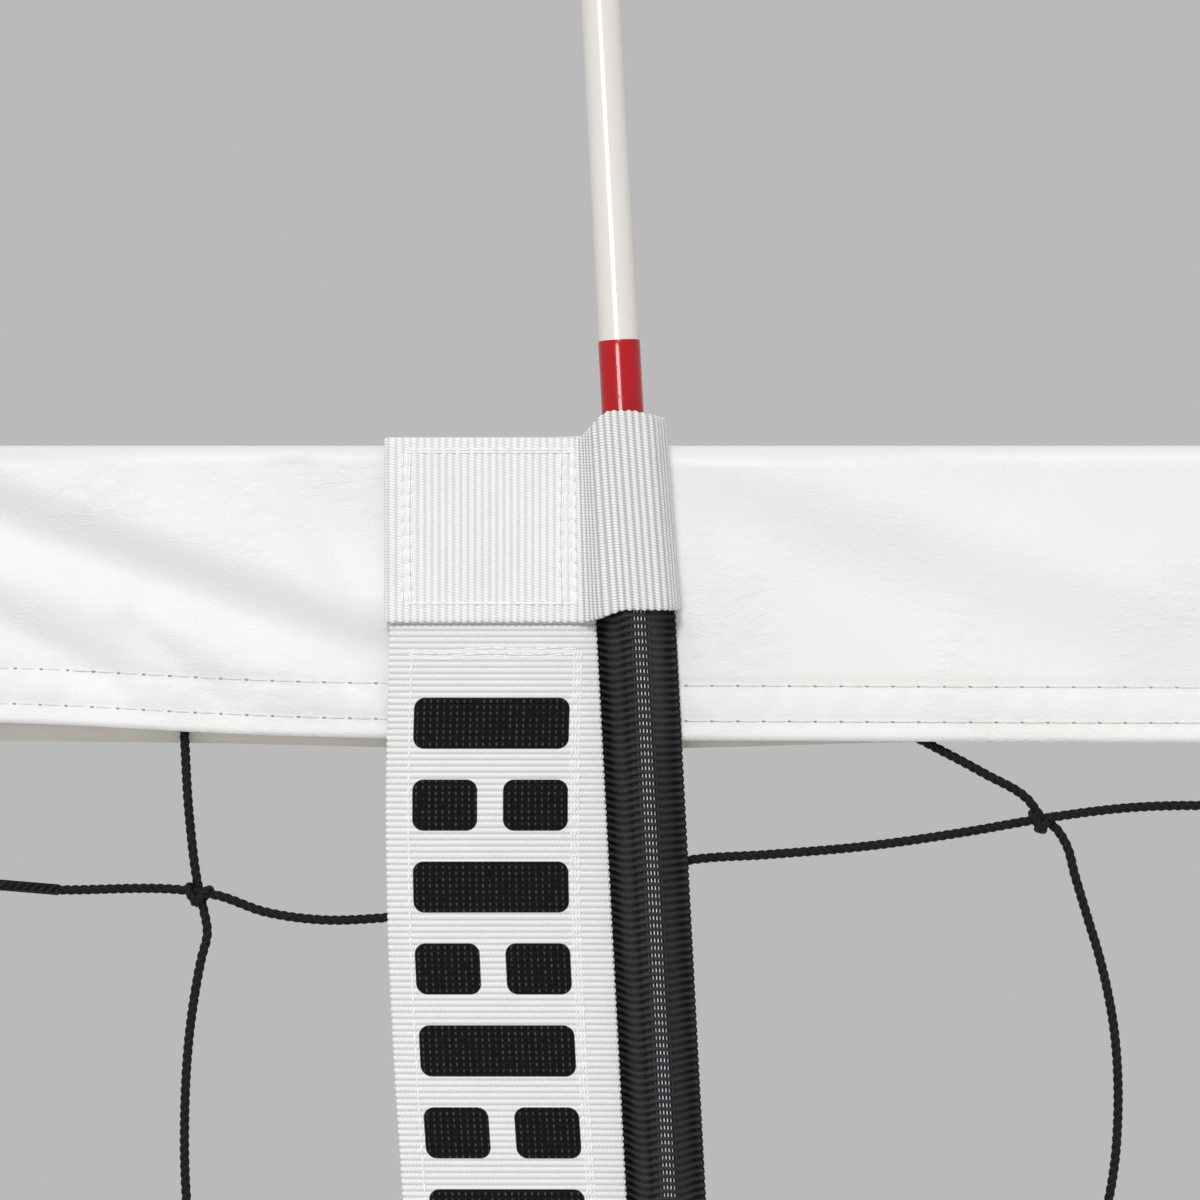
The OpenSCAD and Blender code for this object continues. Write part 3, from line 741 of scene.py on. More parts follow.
def foot_back_bulge(x, z):
    out = 0.8 * MM * ripple(x, z, 34) * np.clip(-z / (12 * MM), 0, 1)
    for row in STITCH_ROWS:
        out = out - 0.45 * MM * np.exp(-((z - foot_hem(x) - row) / (1.1 * MM)) ** 2)
    return np.maximum(out, -1.2 * MM)


foot_x = spaced(NEAR, (foot_low[0], foot_high[0]), 4 * MM, 15 * MM)
foot_grid = band_points(foot_x, foot_hem, foot_hem, foot_bulge, foot_back_bulge, front_n=34, back_n=22)
FLIP = np.array([1, 1, -1])
foot_band = lay_mesh("foot_band_cloth", (foot_grid * FLIP + (0, 0, -NET_H))[:, ::-1])
foot_band.data.materials.append(vinyl)
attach(foot_band, "net")
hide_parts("foot_band")
foot_runs = band_rows(sewn_x, foot_hem, foot_hem, foot_bulge, foot_back_bulge, STITCH_ROWS)
foot_runs = [(points * FLIP + (0, 0, -NET_H), normals) for points, normals in foot_runs]
foot_sewing = sew("foot_band_sewing", foot_runs, STITCH_PITCH, sides=5, rings=4)
foot_sewing.data.materials.append(thread_white)
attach(foot_sewing, "net")
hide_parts("foot_band_stitching")

# ---------------------------------------------------------------- head cable and foot rope
# A galvanised wire cable runs through the head band and a laid rope through the foot band. Each
# comes out at both ends and turns back round a thimble, closed by a pressed ferrule or a whipping.
thimble_low, thimble_high = (np.array(c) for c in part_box("right_head_thimble"))
ferrule_low, ferrule_high = (np.array(c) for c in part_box("right_head_ferrule"))
cable_high = np.array(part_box("head_cable")[1])
EYE_X = (thimble_low[0] + thimble_high[0]) / 2
CABLE_R = cable_high[1]
EYE_R = cable_high[0] - EYE_X - CABLE_R


def turned(name, start, axis, profile, sides=56, turn=1):
    """A solid of revolution: profile is [distance along the axis, radius] points, from the foot up."""
    axis = axis / np.linalg.norm(axis)
    side_a = np.cross(axis, [0, 1, 0])
    side_a /= np.linalg.norm(side_a)
    side_b = np.cross(axis, side_a)
    angle = np.linspace(0, 2 * np.pi, sides, endpoint=False)
    profile = np.asarray(profile, float)
    ring = np.cos(angle)[:, None] * side_a + np.sin(angle)[:, None] * side_b
    points = start + axis * profile[:, 0, None, None] + ring[None] * profile[:, 1, None, None]
    return lay_mesh(name, points * np.array([turn, turn, 1]))


def eyed_line(name, z, radius, finish, apart):
    """A line through the band that turns back round both thimbles and ends inside its closer."""
    round_eye = np.radians(np.linspace(128, -128, 22))
    eye = [(EYE_X + EYE_R * math.cos(a), 0, z + EYE_R * math.sin(a)) for a in round_eye]
    out = [(0, 0, z), (2.5, 0, z), (net_high[0] - 60 * MM, 0, z), (net_high[0] - 30 * MM, 0, z),
           (net_high[0], 0, z), (ferrule_low[0], 0, z + apart * 0.3),
           (ferrule_high[0], 0, z + apart), (ferrule_high[0] + 4 * MM, 0, z + apart * 1.7)]
    home = [(ferrule_high[0] + 4 * MM, 0, z - apart * 1.7), (ferrule_high[0], 0, z - apart),
            (ferrule_low[0] + 2 * MM, 0, z - apart)]
    end = np.array(out[1:] + eye + home)
    half = smooth(end, 1.6 * MM)
    across = np.array([[x, 0, z] for x in np.linspace(-2.4, 2.4, 60)])
    path = np.concatenate([half[::-1] * LEFT, across, half])
    line = bundle(name, [tube_parts(path, radius, 10)])
    line.data.materials.append(finish)
    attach(line, "net")
    return line


cable_steel = laid_finish("cable_steel", (0.55, 0.56, 0.57), 0.32, 6, 14 * MM, 0.0005, Metallic=1.0)
rope_white = laid_finish("foot_rope_white", (0.80, 0.78, 0.72), 0.7, 3, 9 * MM, 0.0011, Sheen_Weight=0.4)
foot_cable_z = (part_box("right_foot_thimble")[0].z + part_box("right_foot_thimble")[1].z) / 2
head_line = eyed_line("head_cable_line", -HALF, CABLE_R * 0.98, cable_steel, 1.6 * MM)
foot_line = eyed_line("foot_rope_line", foot_cable_z, CABLE_R * 0.98, rope_white, 1.2 * MM)
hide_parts("head_cable")
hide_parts("foot_rope")

ferrule_metal, tree, shader = new_finish("ferrule_metal", (0.62, 0.63, 0.64), 0.3, Metallic=1.0)
mottled(tree, shader, 200, 0.15)
galvanised, tree, shader = new_finish("galvanised_steel", (0.58, 0.60, 0.62), 0.34, Metallic=1.0)
mottled(tree, shader, 160, 0.2)
black_plastic, tree, shader = new_finish("black_plastic", (0.03, 0.03, 0.032), 0.38)
mottled(tree, shader, 120, 0.15)
FERRULE_LEN = ferrule_high[0] - ferrule_low[0]
FERRULE_R = ferrule_high[1]
SEIZING_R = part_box("right_foot_seizing")[1].y
for side, turn in (("right", 1), ("left", -1)):
    along = np.linspace(0, FERRULE_LEN, 61)
    pressed = 0.35 * MM * np.clip(np.sin(along / FERRULE_LEN * math.pi * 6), 0, 1) ** 2
    ends = np.clip(1 - np.minimum(along, FERRULE_LEN - along) / (1.2 * MM), 0, 1) ** 2 * 0.9 * MM
    profile = np.stack([along, FERRULE_R - pressed - ends], 1)
    start = np.array([ferrule_low[0], 0, -HALF])
    ferrule = turned(f"{side}_pressed_ferrule", start, np.array([1.0, 0, 0]), profile, sides=32, turn=turn)
    ferrule.data.materials.append(ferrule_metal)
    along = np.linspace(0, FERRULE_LEN, 29 * 8 + 1)
    twine = 0.42 * MM * np.abs(np.sin(along / FERRULE_LEN * math.pi * 29)) ** 0.6
    profile = np.stack([along, SEIZING_R - 0.45 * MM + twine], 1)
    start = np.array([ferrule_low[0], 0, foot_cable_z])
    whipping = turned(f"{side}_whipping", start, np.array([1.0, 0, 0]), profile, sides=28, turn=turn)
    whipping.data.materials.append(thread_white)
    for piece, node, made_of in ((ferrule, f"{side}_head_ferrule", "ferrule_metal"),
                                 (whipping, f"{side}_foot_seizing", "sewing_thread")):
        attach(piece, "net")
        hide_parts(node)


def dress(node, finish):
    """Gives a piece that keeps its CAD shape its material."""
    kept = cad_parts[node]
    kept.data.materials.clear()
    kept.data.materials.append(finish)


# ---------------------------------------------------------------- net ends
# White tape is folded over each end of the net and over a fibreglass rod that keeps it straight.
# Five brass grommets in it take the side ties.
brass, tree, shader = new_finish("brass", (0.72, 0.52, 0.22), 0.28, Metallic=1.0)
mottled(tree, shader, 180, 0.15)
rod_tan, tree, shader = new_finish("fibreglass_rod", (0.62, 0.50, 0.30), 0.4)
mottled(tree, shader, 60, 0.1)
tape_low, tape_high = (np.array(c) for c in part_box("right_end_tape"))
grommet_low, grommet_high = (np.array(c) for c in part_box("right_grommets"))
TAPE_T = 1.1 * MM
GROMMET_RIM, GROMMET_BARREL = (grommet_high[0] - grommet_low[0]) / 2, 5.7 * MM
grommet_z = np.linspace(grommet_high[2], grommet_low[2], 5) + np.linspace(-GROMMET_RIM, GROMMET_RIM, 5)
TAPE_ROWS = (tape_low[0] + 4 * MM, tape_low[0] + 9 * MM, grommet_high[0] + 1.6 * MM)


def tape_half(x, z):
    """Half the folded tape's thickness: its edges are drawn together between the two bands."""
    between = np.clip(np.minimum(-BAND_H - 3 * MM - z, z + NET_H - FOOT_H - 3 * MM) / (16 * MM), 0, 1)
    edge = np.clip(1 - (x - tape_low[0] - 9 * MM) / (11 * MM), 0, 1)
    pinch = 2.4 * MM * between * between * (3 - 2 * between) * edge * edge * (3 - 2 * edge)
    for row in TAPE_ROWS:
        pinch = pinch + 0.35 * MM * np.exp(-((x - row) / (1.0 * MM)) ** 2)
    return tape_high[1] - pinch + 0.12 * MM * np.sin(z * 83 + x * 120)


tape_z = np.linspace(tape_high[2], tape_low[2], 220)[:, None]
FOLD_X = tape_high[0] - tape_high[1]
panel_x = np.linspace(tape_low[0], FOLD_X, 60)[None, :]
fold = np.linspace(-np.pi / 2, np.pi / 2, 13)[None, 1:-1]
panel = tape_half(panel_x, tape_z)
fold_half = panel[:, -1:]
skins = []
for skin, keep in ((0, slice(None)), (TAPE_T, slice(None, None, -3))):
    tape_x = np.concatenate([panel_x + 0 * panel, FOLD_X + (fold_half - skin) * np.cos(fold),
                             panel_x[:, ::-1] + 0 * panel], 1)
    tape_y = np.concatenate([skin - panel, (fold_half - skin) * np.sin(fold), (panel - skin)[:, ::-1]], 1)
    skins.append(np.stack([tape_x, tape_y, tape_z + 0 * tape_x], 2)[:, keep])
tape_grid = np.concatenate(skins, 1)


def punch(piece, holes):
    """Cuts holes through a piece, each a tube's ring of points."""
    cutter = bundle("cutter", holes)
    cut = piece.modifiers.new("punch", "BOOLEAN")
    cut.object, cut.operation, cut.solver = cutter, "DIFFERENCE", "EXACT"
    shaped = piece.evaluated_get(bpy.context.evaluated_depsgraph_get())
    punched = bpy.data.meshes.new_from_object(shaped)
    piece.modifiers.clear()
    piece.data = punched
    bpy.data.objects.remove(cutter)


def hole(start, end, radius, turn):
    ends = np.array([start, end]) * np.array([turn, turn, 1])
    return tube_parts(ends, radius, 32, (0, 0, 1.0))


tape_sewn_z = np.arange(tape_high[2] - 7 * MM, tape_low[2] + 7 * MM, -1.5 * MM)
tape_runs = [(np.stack([row + 0 * tape_sewn_z, face * tape_half(row, tape_sewn_z), tape_sewn_z], 1),
              np.tile([0, face, 0], (len(tape_sewn_z), 1))) for row in TAPE_ROWS for face in (-1.0, 1.0)]
for side, turn in (("right", 1), ("left", -1)):
    tape = lay_mesh(f"{side}_end_tape_cloth", tape_grid * np.array([turn, turn, 1]))
    holes = [hole((grommet_low[0] + GROMMET_RIM, -9 * MM, z), (grommet_low[0] + GROMMET_RIM, 9 * MM, z),
                  GROMMET_BARREL, turn) for z in grommet_z]
    holes += [hole((FOLD_X, 0, z), (tape_high[0] + 3 * MM, 0, z), CABLE_R + 0.4 * MM, turn)
              for z in (-HALF, foot_cable_z)]
    punch(tape, holes)
    tape.data.materials.append(vinyl)
    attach(tape, "net")
    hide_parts(f"{side}_end_tape")
    tape_sewing = sew(f"{side}_end_tape_sewing", [(points * np.array([turn, turn, 1]), normals * turn)
                                                  for points, normals in tape_runs],
                      4.2 * MM, 4.0 * MM, sides=5, rings=4, dive=0.8)
    tape_sewing.data.materials.append(thread_white)
    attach(tape_sewing, "net")
    dress(f"{side}_head_thimble", galvanised)
    dress(f"{side}_foot_thimble", black_plastic)
    dress(f"{side}_end_rod", rod_tan)
    dress(f"{side}_grommets", brass)

# ---------------------------------------------------------------- marker straps
# White polyester webbing, 50 mm wide, woven in close level ribs with a corded edge. It runs down
# the net's face and folds over the head band and under the foot band, where the flaps take over.
RIB = 1.44 * MM
ribs_per_row = 4
strap_box = [np.array(c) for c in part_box("right_marker_strap")]
foot_flap_box = [np.array(c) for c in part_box("right_bottom_flap")]
STRAP_W = fold_high[0] - fold_low[0]
LEAN = (foot_flap_box[1][0] - MARKER_X) / NET_H      # sideways run of the marker per metre of drop
STRAP_T = 1.3 * MM
STRAP_MID = strap_box[0][1] + 0.7 * MM               # the middle of its thickness, in front of the net
TOP_MID = strap_box[1][2] - 0.7 * MM
FOOT_MID = strap_box[0][2] + 0.7 * MM


def fillet(corners, radii, step):
    """A path through [a, b] corners, each rounded to its radius, as evenly spaced points."""
    corners = [np.array(c, float) for c in corners]
    points = [corners[0]]
    for before, at, after, r in zip(corners, corners[1:], corners[2:], radii):
        back, ahead = before - at, after - at
        back, ahead = back / np.linalg.norm(back), ahead / np.linalg.norm(ahead)
        half = math.acos(np.clip(back @ ahead, -1, 1)) / 2
        reach = r / math.tan(half)
        for t in np.linspace(0, 1, 9):
            a, b = at + back * reach, at + ahead * reach
            points.append((1 - t) ** 2 * a + 2 * t * (1 - t) * at + t * t * b)
    points.append(corners[-1])
    points = np.array(points)
    reach = np.concatenate([[0], np.cumsum(np.linalg.norm(np.diff(points, axis=0), axis=1))])
    at = np.arange(0, reach[-1], step)
    return np.stack([np.interp(at, reach, points[:, k]) for k in range(points.shape[1])], 1), at


def ribbed(name, left, right, out, along, pitch, thick, rib=0.3 * MM, edge=0.3 * MM, across_n=22,
           bulge=None, turn=1, sharp=0.7):
    """Ribbed webbing between two edges. left, right and out (the outward normal) are one row for each
    quarter rib, and along is the distance of each row. turn -1 gives the other marker's copy."""
    phase = (along / pitch) % 1.0
    crown = np.clip(np.sin(np.pi * phase), 0, 1) ** sharp
    width = np.linalg.norm(right - left, axis=1)
    inner = np.linspace(0.012, 0.988, across_n)
    face = np.concatenate([[0.0, 0.004], inner, [0.996, 1.0]])
    swell = np.concatenate([[0.35, 0.8], np.ones(across_n), [0.8, 0.35]])
    back = np.array([0.996, 0.97, 0.75, 0.5, 0.25, 0.03, 0.004])
    sweep = np.concatenate([face, back])
    lift = np.concatenate([swell, -0.8 * np.ones(len(back))])
    ribbing = np.concatenate([swell, -0.6 * np.ones(len(back))])
    side = (right - left) / width[:, None]
    place = left[:, None, :] + (right - left)[:, None, :] * sweep[None, :, None]
    tooth = (np.abs(sweep - 0.5) > 0.49) * np.sign(sweep - 0.5)
    place = place + side[:, None, :] * (edge * (crown[:, None] - 0.4) * tooth[None, :])[:, :, None]
    height = lift[None, :] * thick / 2 + ribbing[None, :] * rib * (crown[:, None] - 0.5)
    if bulge is not None:
        height = height + bulge(place)
    place = place + out[:, None, :] * height[:, :, None]
    place = place * np.array([turn, turn, 1])
    unprinted = np.arange(len(sweep)) >= len(face)       # the back's own place, clear of the print
    weave = np.stack([width[:, None] * sweep[None, :] + unprinted[None, :], along[:, None] + 0 * sweep[None, :]], -1)
    return lay_mesh(name, place, weave=weave)


def lean_x(z):
    """How far the marker's outer edge has moved out at a height."""
    return -z * LEAN


def normals_of(path):
    """Outward normals, in the [y, z] plane, of a path that goes over the top and down the front."""
    run = np.gradient(path, axis=0)
    run /= np.linalg.norm(run, axis=1)[:, None]
    return np.stack([0 * run[:, 0], run[:, 1], -run[:, 0]], 1)


GRIP = 2.8                        # how much narrower, in millimetres


def strap_edges(z):
    """The strap's two edges: it is drawn a little narrower where the wrap grips it."""
    depth = -z / MM
    slack = 2.6 * np.clip(depth / 120, 0, 1) * np.exp(-np.clip(depth - 150, 0, None) / 160)
    grip = GRIP * np.exp(-(np.clip(depth - 32, 0, None) / 40) ** 2)
    right = MARKER_X + lean_x(z)
    left = right - STRAP_W + (grip - slack) * MM
    return left, right


def ramp(tree, value, low, high):
    """0 at low and 1 at high, with smooth ends."""
    node = put(tree, "ShaderNodeMapRange", [(value, "Value")], interpolation_type="SMOOTHSTEP")
    node.inputs["From Min"].default_value, node.inputs["From Max"].default_value = low, high
    return node.outputs[0]


def weave_group():
    """Ribbed weave: how deep a point is in the groove between two ribs, and the bump of the yarns."""
    group = bpy.data.node_groups.new("ribbed_weave", "ShaderNodeTree")
    for label in ("Across", "Along", "Rib", "Yarn"):
        group.interface.new_socket(label, in_out="INPUT", socket_type="NodeSocketFloat")
    for label in ("Groove", "Yarns"):
        group.interface.new_socket(label, in_out="OUTPUT", socket_type="NodeSocketFloat")
    entry, leave = put(group, "NodeGroupInput").outputs, put(group, "NodeGroupOutput")
    turns = calc(group, "DIVIDE", entry["Along"], entry["Rib"])
    wave = calc(group, "ABSOLUTE", calc(group, "SINE", calc(group, "MULTIPLY", turns, math.pi)))
    groove = calc(group, "POWER", calc(group, "SUBTRACT", 1.0, wave), 1.3)
    odd = calc(group, "MULTIPLY", calc(group, "FLOOR", turns), 0.5)
    lean = calc(group, "MULTIPLY", calc(group, "FRACT", turns), 0.8)
    yarn_turns = calc(group, "ADD", calc(group, "DIVIDE", entry["Across"], entry["Yarn"]), odd)
    yarn = calc(group, "SINE", calc(group, "MULTIPLY", calc(group, "ADD", yarn_turns, lean), math.pi))
    body = calc(group, "MULTIPLY", calc(group, "POWER", calc(group, "ABSOLUTE", yarn), 0.6),
                calc(group, "ADD", calc(group, "MULTIPLY", wave, 0.6), 0.4))
    group.links.new(groove, leave.inputs["Groove"])
    group.links.new(body, leave.inputs["Yarns"])
    return group


WEAVE = weave_group()


def webbing_finish(name, colour, groove_shade_colour, roughness, rib, yarn, bump, sheen, gloss=0.25):
    """A woven finish whose grooves are darkened with painted shade, most between the yarns; returns it with its
    tree, shader, colour mix, weave node and coordinates.
    """
    finish, tree, shader = new_finish(name, colour, roughness, Sheen_Weight=sheen,
                                      Sheen_Roughness=0.4, Specular_IOR_Level=gloss)
    across, along = cloth_coordinates(tree)
    weave = put(tree, "ShaderNodeGroup", node_tree=WEAVE)
    weave.inputs["Rib"].default_value, weave.inputs["Yarn"].default_value = rib, yarn
    tree.links.new(across, weave.inputs["Across"])
    tree.links.new(along, weave.inputs["Along"])
    drift = mottled(tree, shader, 140, 0.05)
    # painted shade: deep in a groove, and most between its yarns, the colour goes to the groove colour
    between = calc(tree, "SUBTRACT", 1.0, calc(tree, "MULTIPLY", weave.outputs["Yarns"], 0.75))
    dark = calc(tree, "MULTIPLY", ramp(tree, weave.outputs["Groove"], 0.0, 0.62), between)
    shade = put(tree, "ShaderNodeMix", [(dark, "Factor")], data_type="RGBA")
    tree.links.new(drift.outputs["Colour"], shade.inputs["A"])
    shade.inputs["B"].default_value = (*groove_shade_colour, 1)
    tree.links.new(shade.outputs["Result"], shader.inputs["Base Color"])
    place = put(tree, "ShaderNodeTexCoord")
    hair = put(tree, "ShaderNodeTexNoise", [(place.outputs["Object"], "Vector")], Scale=2600.0, Detail=3.0)
    fuzz = put(tree, "ShaderNodeBump", [(hair.outputs["Fac"], "Height")], Distance=0.00006, Strength=0.5)
    yarns = put(tree, "ShaderNodeBump", [(weave.outputs["Yarns"], "Height"), (fuzz.outputs[0], "Normal")],
                Distance=bump, Strength=1.0)
    tree.links.new(yarns.outputs[0], shader.inputs["Normal"])
    return finish, tree, shader, shade, weave, (across, along)


# the white webbing's groove colour is painted shade
WHITE, WHITE_GROOVE_SHADE = (0.95, 0.945, 0.945), (0.60, 0.59, 0.585)
white_webbing = webbing_finish("white_webbing", WHITE, WHITE_GROOVE_SHADE, 0.62, RIB, 0.62 * MM, 0.00018, 0.2)[0]

STRAP_START = 2.9 * MM            # where the fold ends behind the band and the flap takes over
BEND = 2.4 * MM
strap_path, strap_along = fillet(
    [(STRAP_START, TOP_MID), (STRAP_MID, TOP_MID), (STRAP_MID, FOOT_MID), (STRAP_START, FOOT_MID)],
    (BEND, BEND), RIB / ribs_per_row)


def marker_webbing(name, path, along, edges, turn, **more):
    left_x, right_x = edges(path[:, 1])
    left = np.stack([left_x, path[:, 0], path[:, 1]], 1)
    right = np.stack([right_x, path[:, 0], path[:, 1]], 1)
    return ribbed(name, left, right, normals_of(path), along, RIB, STRAP_T, turn=turn, **more)


def strap_bulge(place):
    """The strap rides up over the sleeve's edge that is sewn under it."""
    outer = MARKER_X + lean_x(place[:, :, 2]) - place[:, :, 0]
    front = (place[:, :, 1] < -5 * MM) * 1.0
    wave = 0.25 * MM * np.sin(place[:, :, 2] * 70) * np.sin(place[:, :, 0] * 55)
    return front * (0.35 * MM * np.exp(-(outer / (4.5 * MM)) ** 2) + wave)


def printed_bars_group():
    """Rows of plain round-cornered bars across the cloth: one whole bar, then a bar in two halves."""
    group = bpy.data.node_groups.new("printed_bars", "ShaderNodeTree")
    for label in ("Across", "Along"):
        group.interface.new_socket(label, in_out="INPUT", socket_type="NodeSocketFloat")
    group.interface.new_socket("Ink", in_out="OUTPUT", socket_type="NodeSocketFloat")
    entry, leave = put(group, "NodeGroupInput").outputs, put(group, "NodeGroupOutput")
    start, end = 69 * MM, NET_H - 70 * MM
    step, tall, corner = 38.3 * MM, 6 * MM, 2.6 * MM
    from_middle = calc(group, "ABSOLUTE", calc(group, "SUBTRACT", entry["Across"], 24.3 * MM))
    run = calc(group, "MODULO", calc(group, "SUBTRACT", entry["Along"], start), step)

    def bar(middle, half, row):
        side = calc(group, "ABSOLUTE", calc(group, "SUBTRACT", from_middle, middle))
        side = calc(group, "MAXIMUM", calc(group, "SUBTRACT", side, half - corner), 0.0)
        rise = calc(group, "ABSOLUTE", calc(group, "SUBTRACT", run, row))
        rise = calc(group, "MAXIMUM", calc(group, "SUBTRACT", rise, tall - corner), 0.0)
        reach = calc(group, "SQRT", calc(group, "ADD", calc(group, "MULTIPLY", side, side),
                                         calc(group, "MULTIPLY", rise, rise)))
        return ramp(group, reach, corner + 0.12 * MM, corner - 0.12 * MM)

    ink = calc(group, "MAXIMUM", bar(0.0, 18.2 * MM, tall), bar(10.6 * MM, 7.6 * MM, step / 2 + tall))
    inside = calc(group, "MULTIPLY", calc(group, "GREATER_THAN", entry["Along"], start),
                  calc(group, "LESS_THAN", entry["Along"], end))
    group.links.new(calc(group, "MULTIPLY", ink, inside), leave.inputs["Ink"])
    return group


printed_webbing, tree, shader, shade, weave, (across_at, along_at) = webbing_finish(
    "printed_webbing", WHITE, WHITE_GROOVE_SHADE, 0.62, RIB, 0.62 * MM, 0.00018, 0.03, 0.1)
bars = put(tree, "ShaderNodeGroup", node_tree=printed_bars_group())
tree.links.new(across_at, bars.inputs["Across"])
tree.links.new(along_at, bars.inputs["Along"])
KNUCKLE = 1.55 * MM    # the yarn crests' pitch; a painted highlight lightens the ink on these crests
place = put(tree, "ShaderNodeTexCoord")
speck = put(tree, "ShaderNodeTexNoise", [(place.outputs["Object"], "Vector")], Scale=700.0, Detail=3.0)
knuckle = calc(tree, "PINGPONG", calc(tree, "DIVIDE", across_at, KNUCKLE), 0.5)
# painted highlight: on the yarn crests the ink is lightened, as if they caught the light
crest_highlight = calc(tree, "MULTIPLY", ramp(tree, knuckle, 0.30, 0.46), ramp(tree, weave.outputs["Groove"], 0.34, 0.06))
crest_highlight = calc(tree, "MULTIPLY", crest_highlight, ramp(tree, speck.outputs["Fac"], 0.28, 0.66))
cover = calc(tree, "MULTIPLY", bars.outputs["Ink"], calc(tree, "SUBTRACT", 1.0,
                                                         calc(tree, "MULTIPLY", crest_highlight, 0.085)))
printed = put(tree, "ShaderNodeMix", [(cover, "Factor"), (shade.outputs["Result"], "A")], data_type="RGBA")
printed.inputs["B"].default_value = (0.004, 0.005, 0.006, 1)
tree.links.new(printed.outputs["Result"], shader.inputs["Base Color"])

thread_bright, tree, shader = new_finish("bright_thread", (0.91, 0.91, 0.955), 0.5, Sheen_Weight=0.3)
mottled(tree, shader, 900, 0.08)

STRAP_FACE = -STRAP_MID + 0.62 * MM


def strap_run(from_edge, z):
    """A line of sewing on the strap's face, measured from its inner edge."""
    z = np.asarray(z, float)
    x = strap_edges(z)[0] + from_edge
    at = np.stack([x, 0 * z - STRAP_FACE, z], 1)
    at[:, 1] -= strap_bulge(at[None])[0]
    return at, np.tile([0, -1.0, 0], (len(z), 1))


def cross_run(z_at_edge, slope):
    """A line of sewing across the strap, under the wrap's foot."""
    x_in = np.linspace(5, STRAP_W / MM - 5.5, 80) * MM
    z = z_at_edge - slope * x_in + 0.25 * MM * np.sin(x_in * 300)
    at = np.stack([strap_edges(z)[1] - x_in, 0 * z - STRAP_FACE, z], 1)
    at[:, 1] -= strap_bulge(at[None])[0]
    return at, np.tile([0, -1.0, 0], (len(z), 1))


def turn_runs(runs, turn):
    """The same sewing on the marker at the net's other end, which is turned half round."""
    spin = np.array([turn, turn, 1])
    return [(np.asarray(points) * spin, np.asarray(normals) * spin) for points, normals in runs]


seam_z = np.arange(-48 * MM, -NET_H + 50 * MM, -0.8 * MM)
strap_runs = [strap_run(d * MM, seam_z) for d in (5.2, 43.3, 44.1, 44.9)]
strap_runs += [cross_run(z * MM, 0.022) for z in (-47.3, -47.9, -48.5, -49.1)]

SIDES = (("right", 1), ("left", -1))
for side, turn in SIDES:
    strap = marker_webbing(f"{side}_strap_webbing", strap_path, strap_along, strap_edges, turn,
                           bulge=strap_bulge)
    strap.data.materials.append(printed_webbing)
    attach(strap, "net")
    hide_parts(f"{side}_marker_strap")
    seams = sew(f"{side}_strap_sewing", turn_runs(strap_runs, turn), 3.2 * MM, 3.4 * MM, radius=0.25 * MM, dive=0.9)
    seams.data.materials.append(thread_bright)
    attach(seams, "net")
    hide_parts(f"{side}_strap_stitching")

# ---------------------------------------------------------------- antenna sleeves
# Black tubular webbing, 25 mm wide when flat. One edge is sewn under the strap, the antenna
# stretches the middle of it, and the other edge stands free. Its foot is sewn shut.
SLEEVE_RIB = 1.73 * MM
sleeve_low, sleeve_high = (np.array(c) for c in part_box("right_antenna_sleeve"))
tip_mid = sum(np.array(c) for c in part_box("right_antenna_tip")) / 2
foot_mid = sum(np.array(c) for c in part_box("right_antenna_foot")) / 2
rod_axis = (tip_mid - foot_mid) / np.linalg.norm(tip_mid - foot_mid)
ROD_X = foot_mid[0] + rod_axis[0] / rod_axis[2] * -foot_mid[2]   # where the axis passes the net's top edge
ROD_Y = foot_mid[1]
ROD_R = (np.array(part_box("right_antenna_foot")[1]) - np.array(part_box("right_antenna_foot")[0]))[1] / 2
ROD_OFF = ROD_X - MARKER_X
SLEEVE_BACK = -4.5 * MM
SLEEVE_LEFT, SLEEVE_RIGHT = -5.4 * MM, 18.4 * MM
CROWN = ROD_R + 1.3 * MM


def sleeve_front(x):
    """How far the sleeve's front stands off the net's plane, at a distance from the strap's edge."""
    flat = 1.5 * MM
    crest = -ROD_Y + SLEEVE_BACK + CROWN
    away = np.clip((np.abs(x - ROD_OFF) / MM - 2.1) / 6.8, 0, 1)
    return flat + (crest - flat) * (1 - away * away * (3 - 2 * away))


SLEEVE_TOP = sleeve_high[2] + 8 * MM
SLEEVE_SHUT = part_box("right_antenna_foot")[0].z - 10.5 * MM
sleeve_along = np.arange(0, SLEEVE_TOP - sleeve_low[2], SLEEVE_RIB / 4)
across = np.concatenate([np.linspace(SLEEVE_LEFT, 1 * MM, 6)[:-1], np.linspace(1 * MM, SLEEVE_RIGHT, 38)])
sleeve_z = SLEEVE_TOP - sleeve_along
crown = np.clip(np.sin(np.pi * ((sleeve_along / SLEEVE_RIB) % 1.0)), 0, 1) ** 0.5
shut = np.clip((sleeve_z - SLEEVE_SHUT) / (10 * MM), 0, 1)
shut = shut * shut * (3 - 2 * shut)
rod_drift = ROD_X + rod_axis[0] / rod_axis[2] * sleeve_z - MARKER_X - lean_x(sleeve_z) - ROD_OFF
rise = 1.5 * MM + (sleeve_front(across[None, :] - rod_drift[:, None]) - 1.5 * MM) * shut[:, None]
front_y = SLEEVE_BACK - rise - 0.5 * MM * (crown[:, None] - 0.5)
tooth = np.zeros(len(across))
tooth[-2:] = 0.5, 1
sleeve_x = MARKER_X + lean_x(sleeve_z)[:, None] + across[None, :] + 0.32 * MM * crown[:, None] * tooth
sway = (-0.55 * np.exp(-((across / MM - 3.4) / 2.3) ** 2)
        + 0.5 * np.exp(-((across / MM - 9.4) / 3.4) ** 2)) * MM
front_z = sleeve_z[:, None] + sway[None, :] + 0 * sleeve_x
back_cols = np.linspace(len(across) - 1, 0, 12).astype(int)
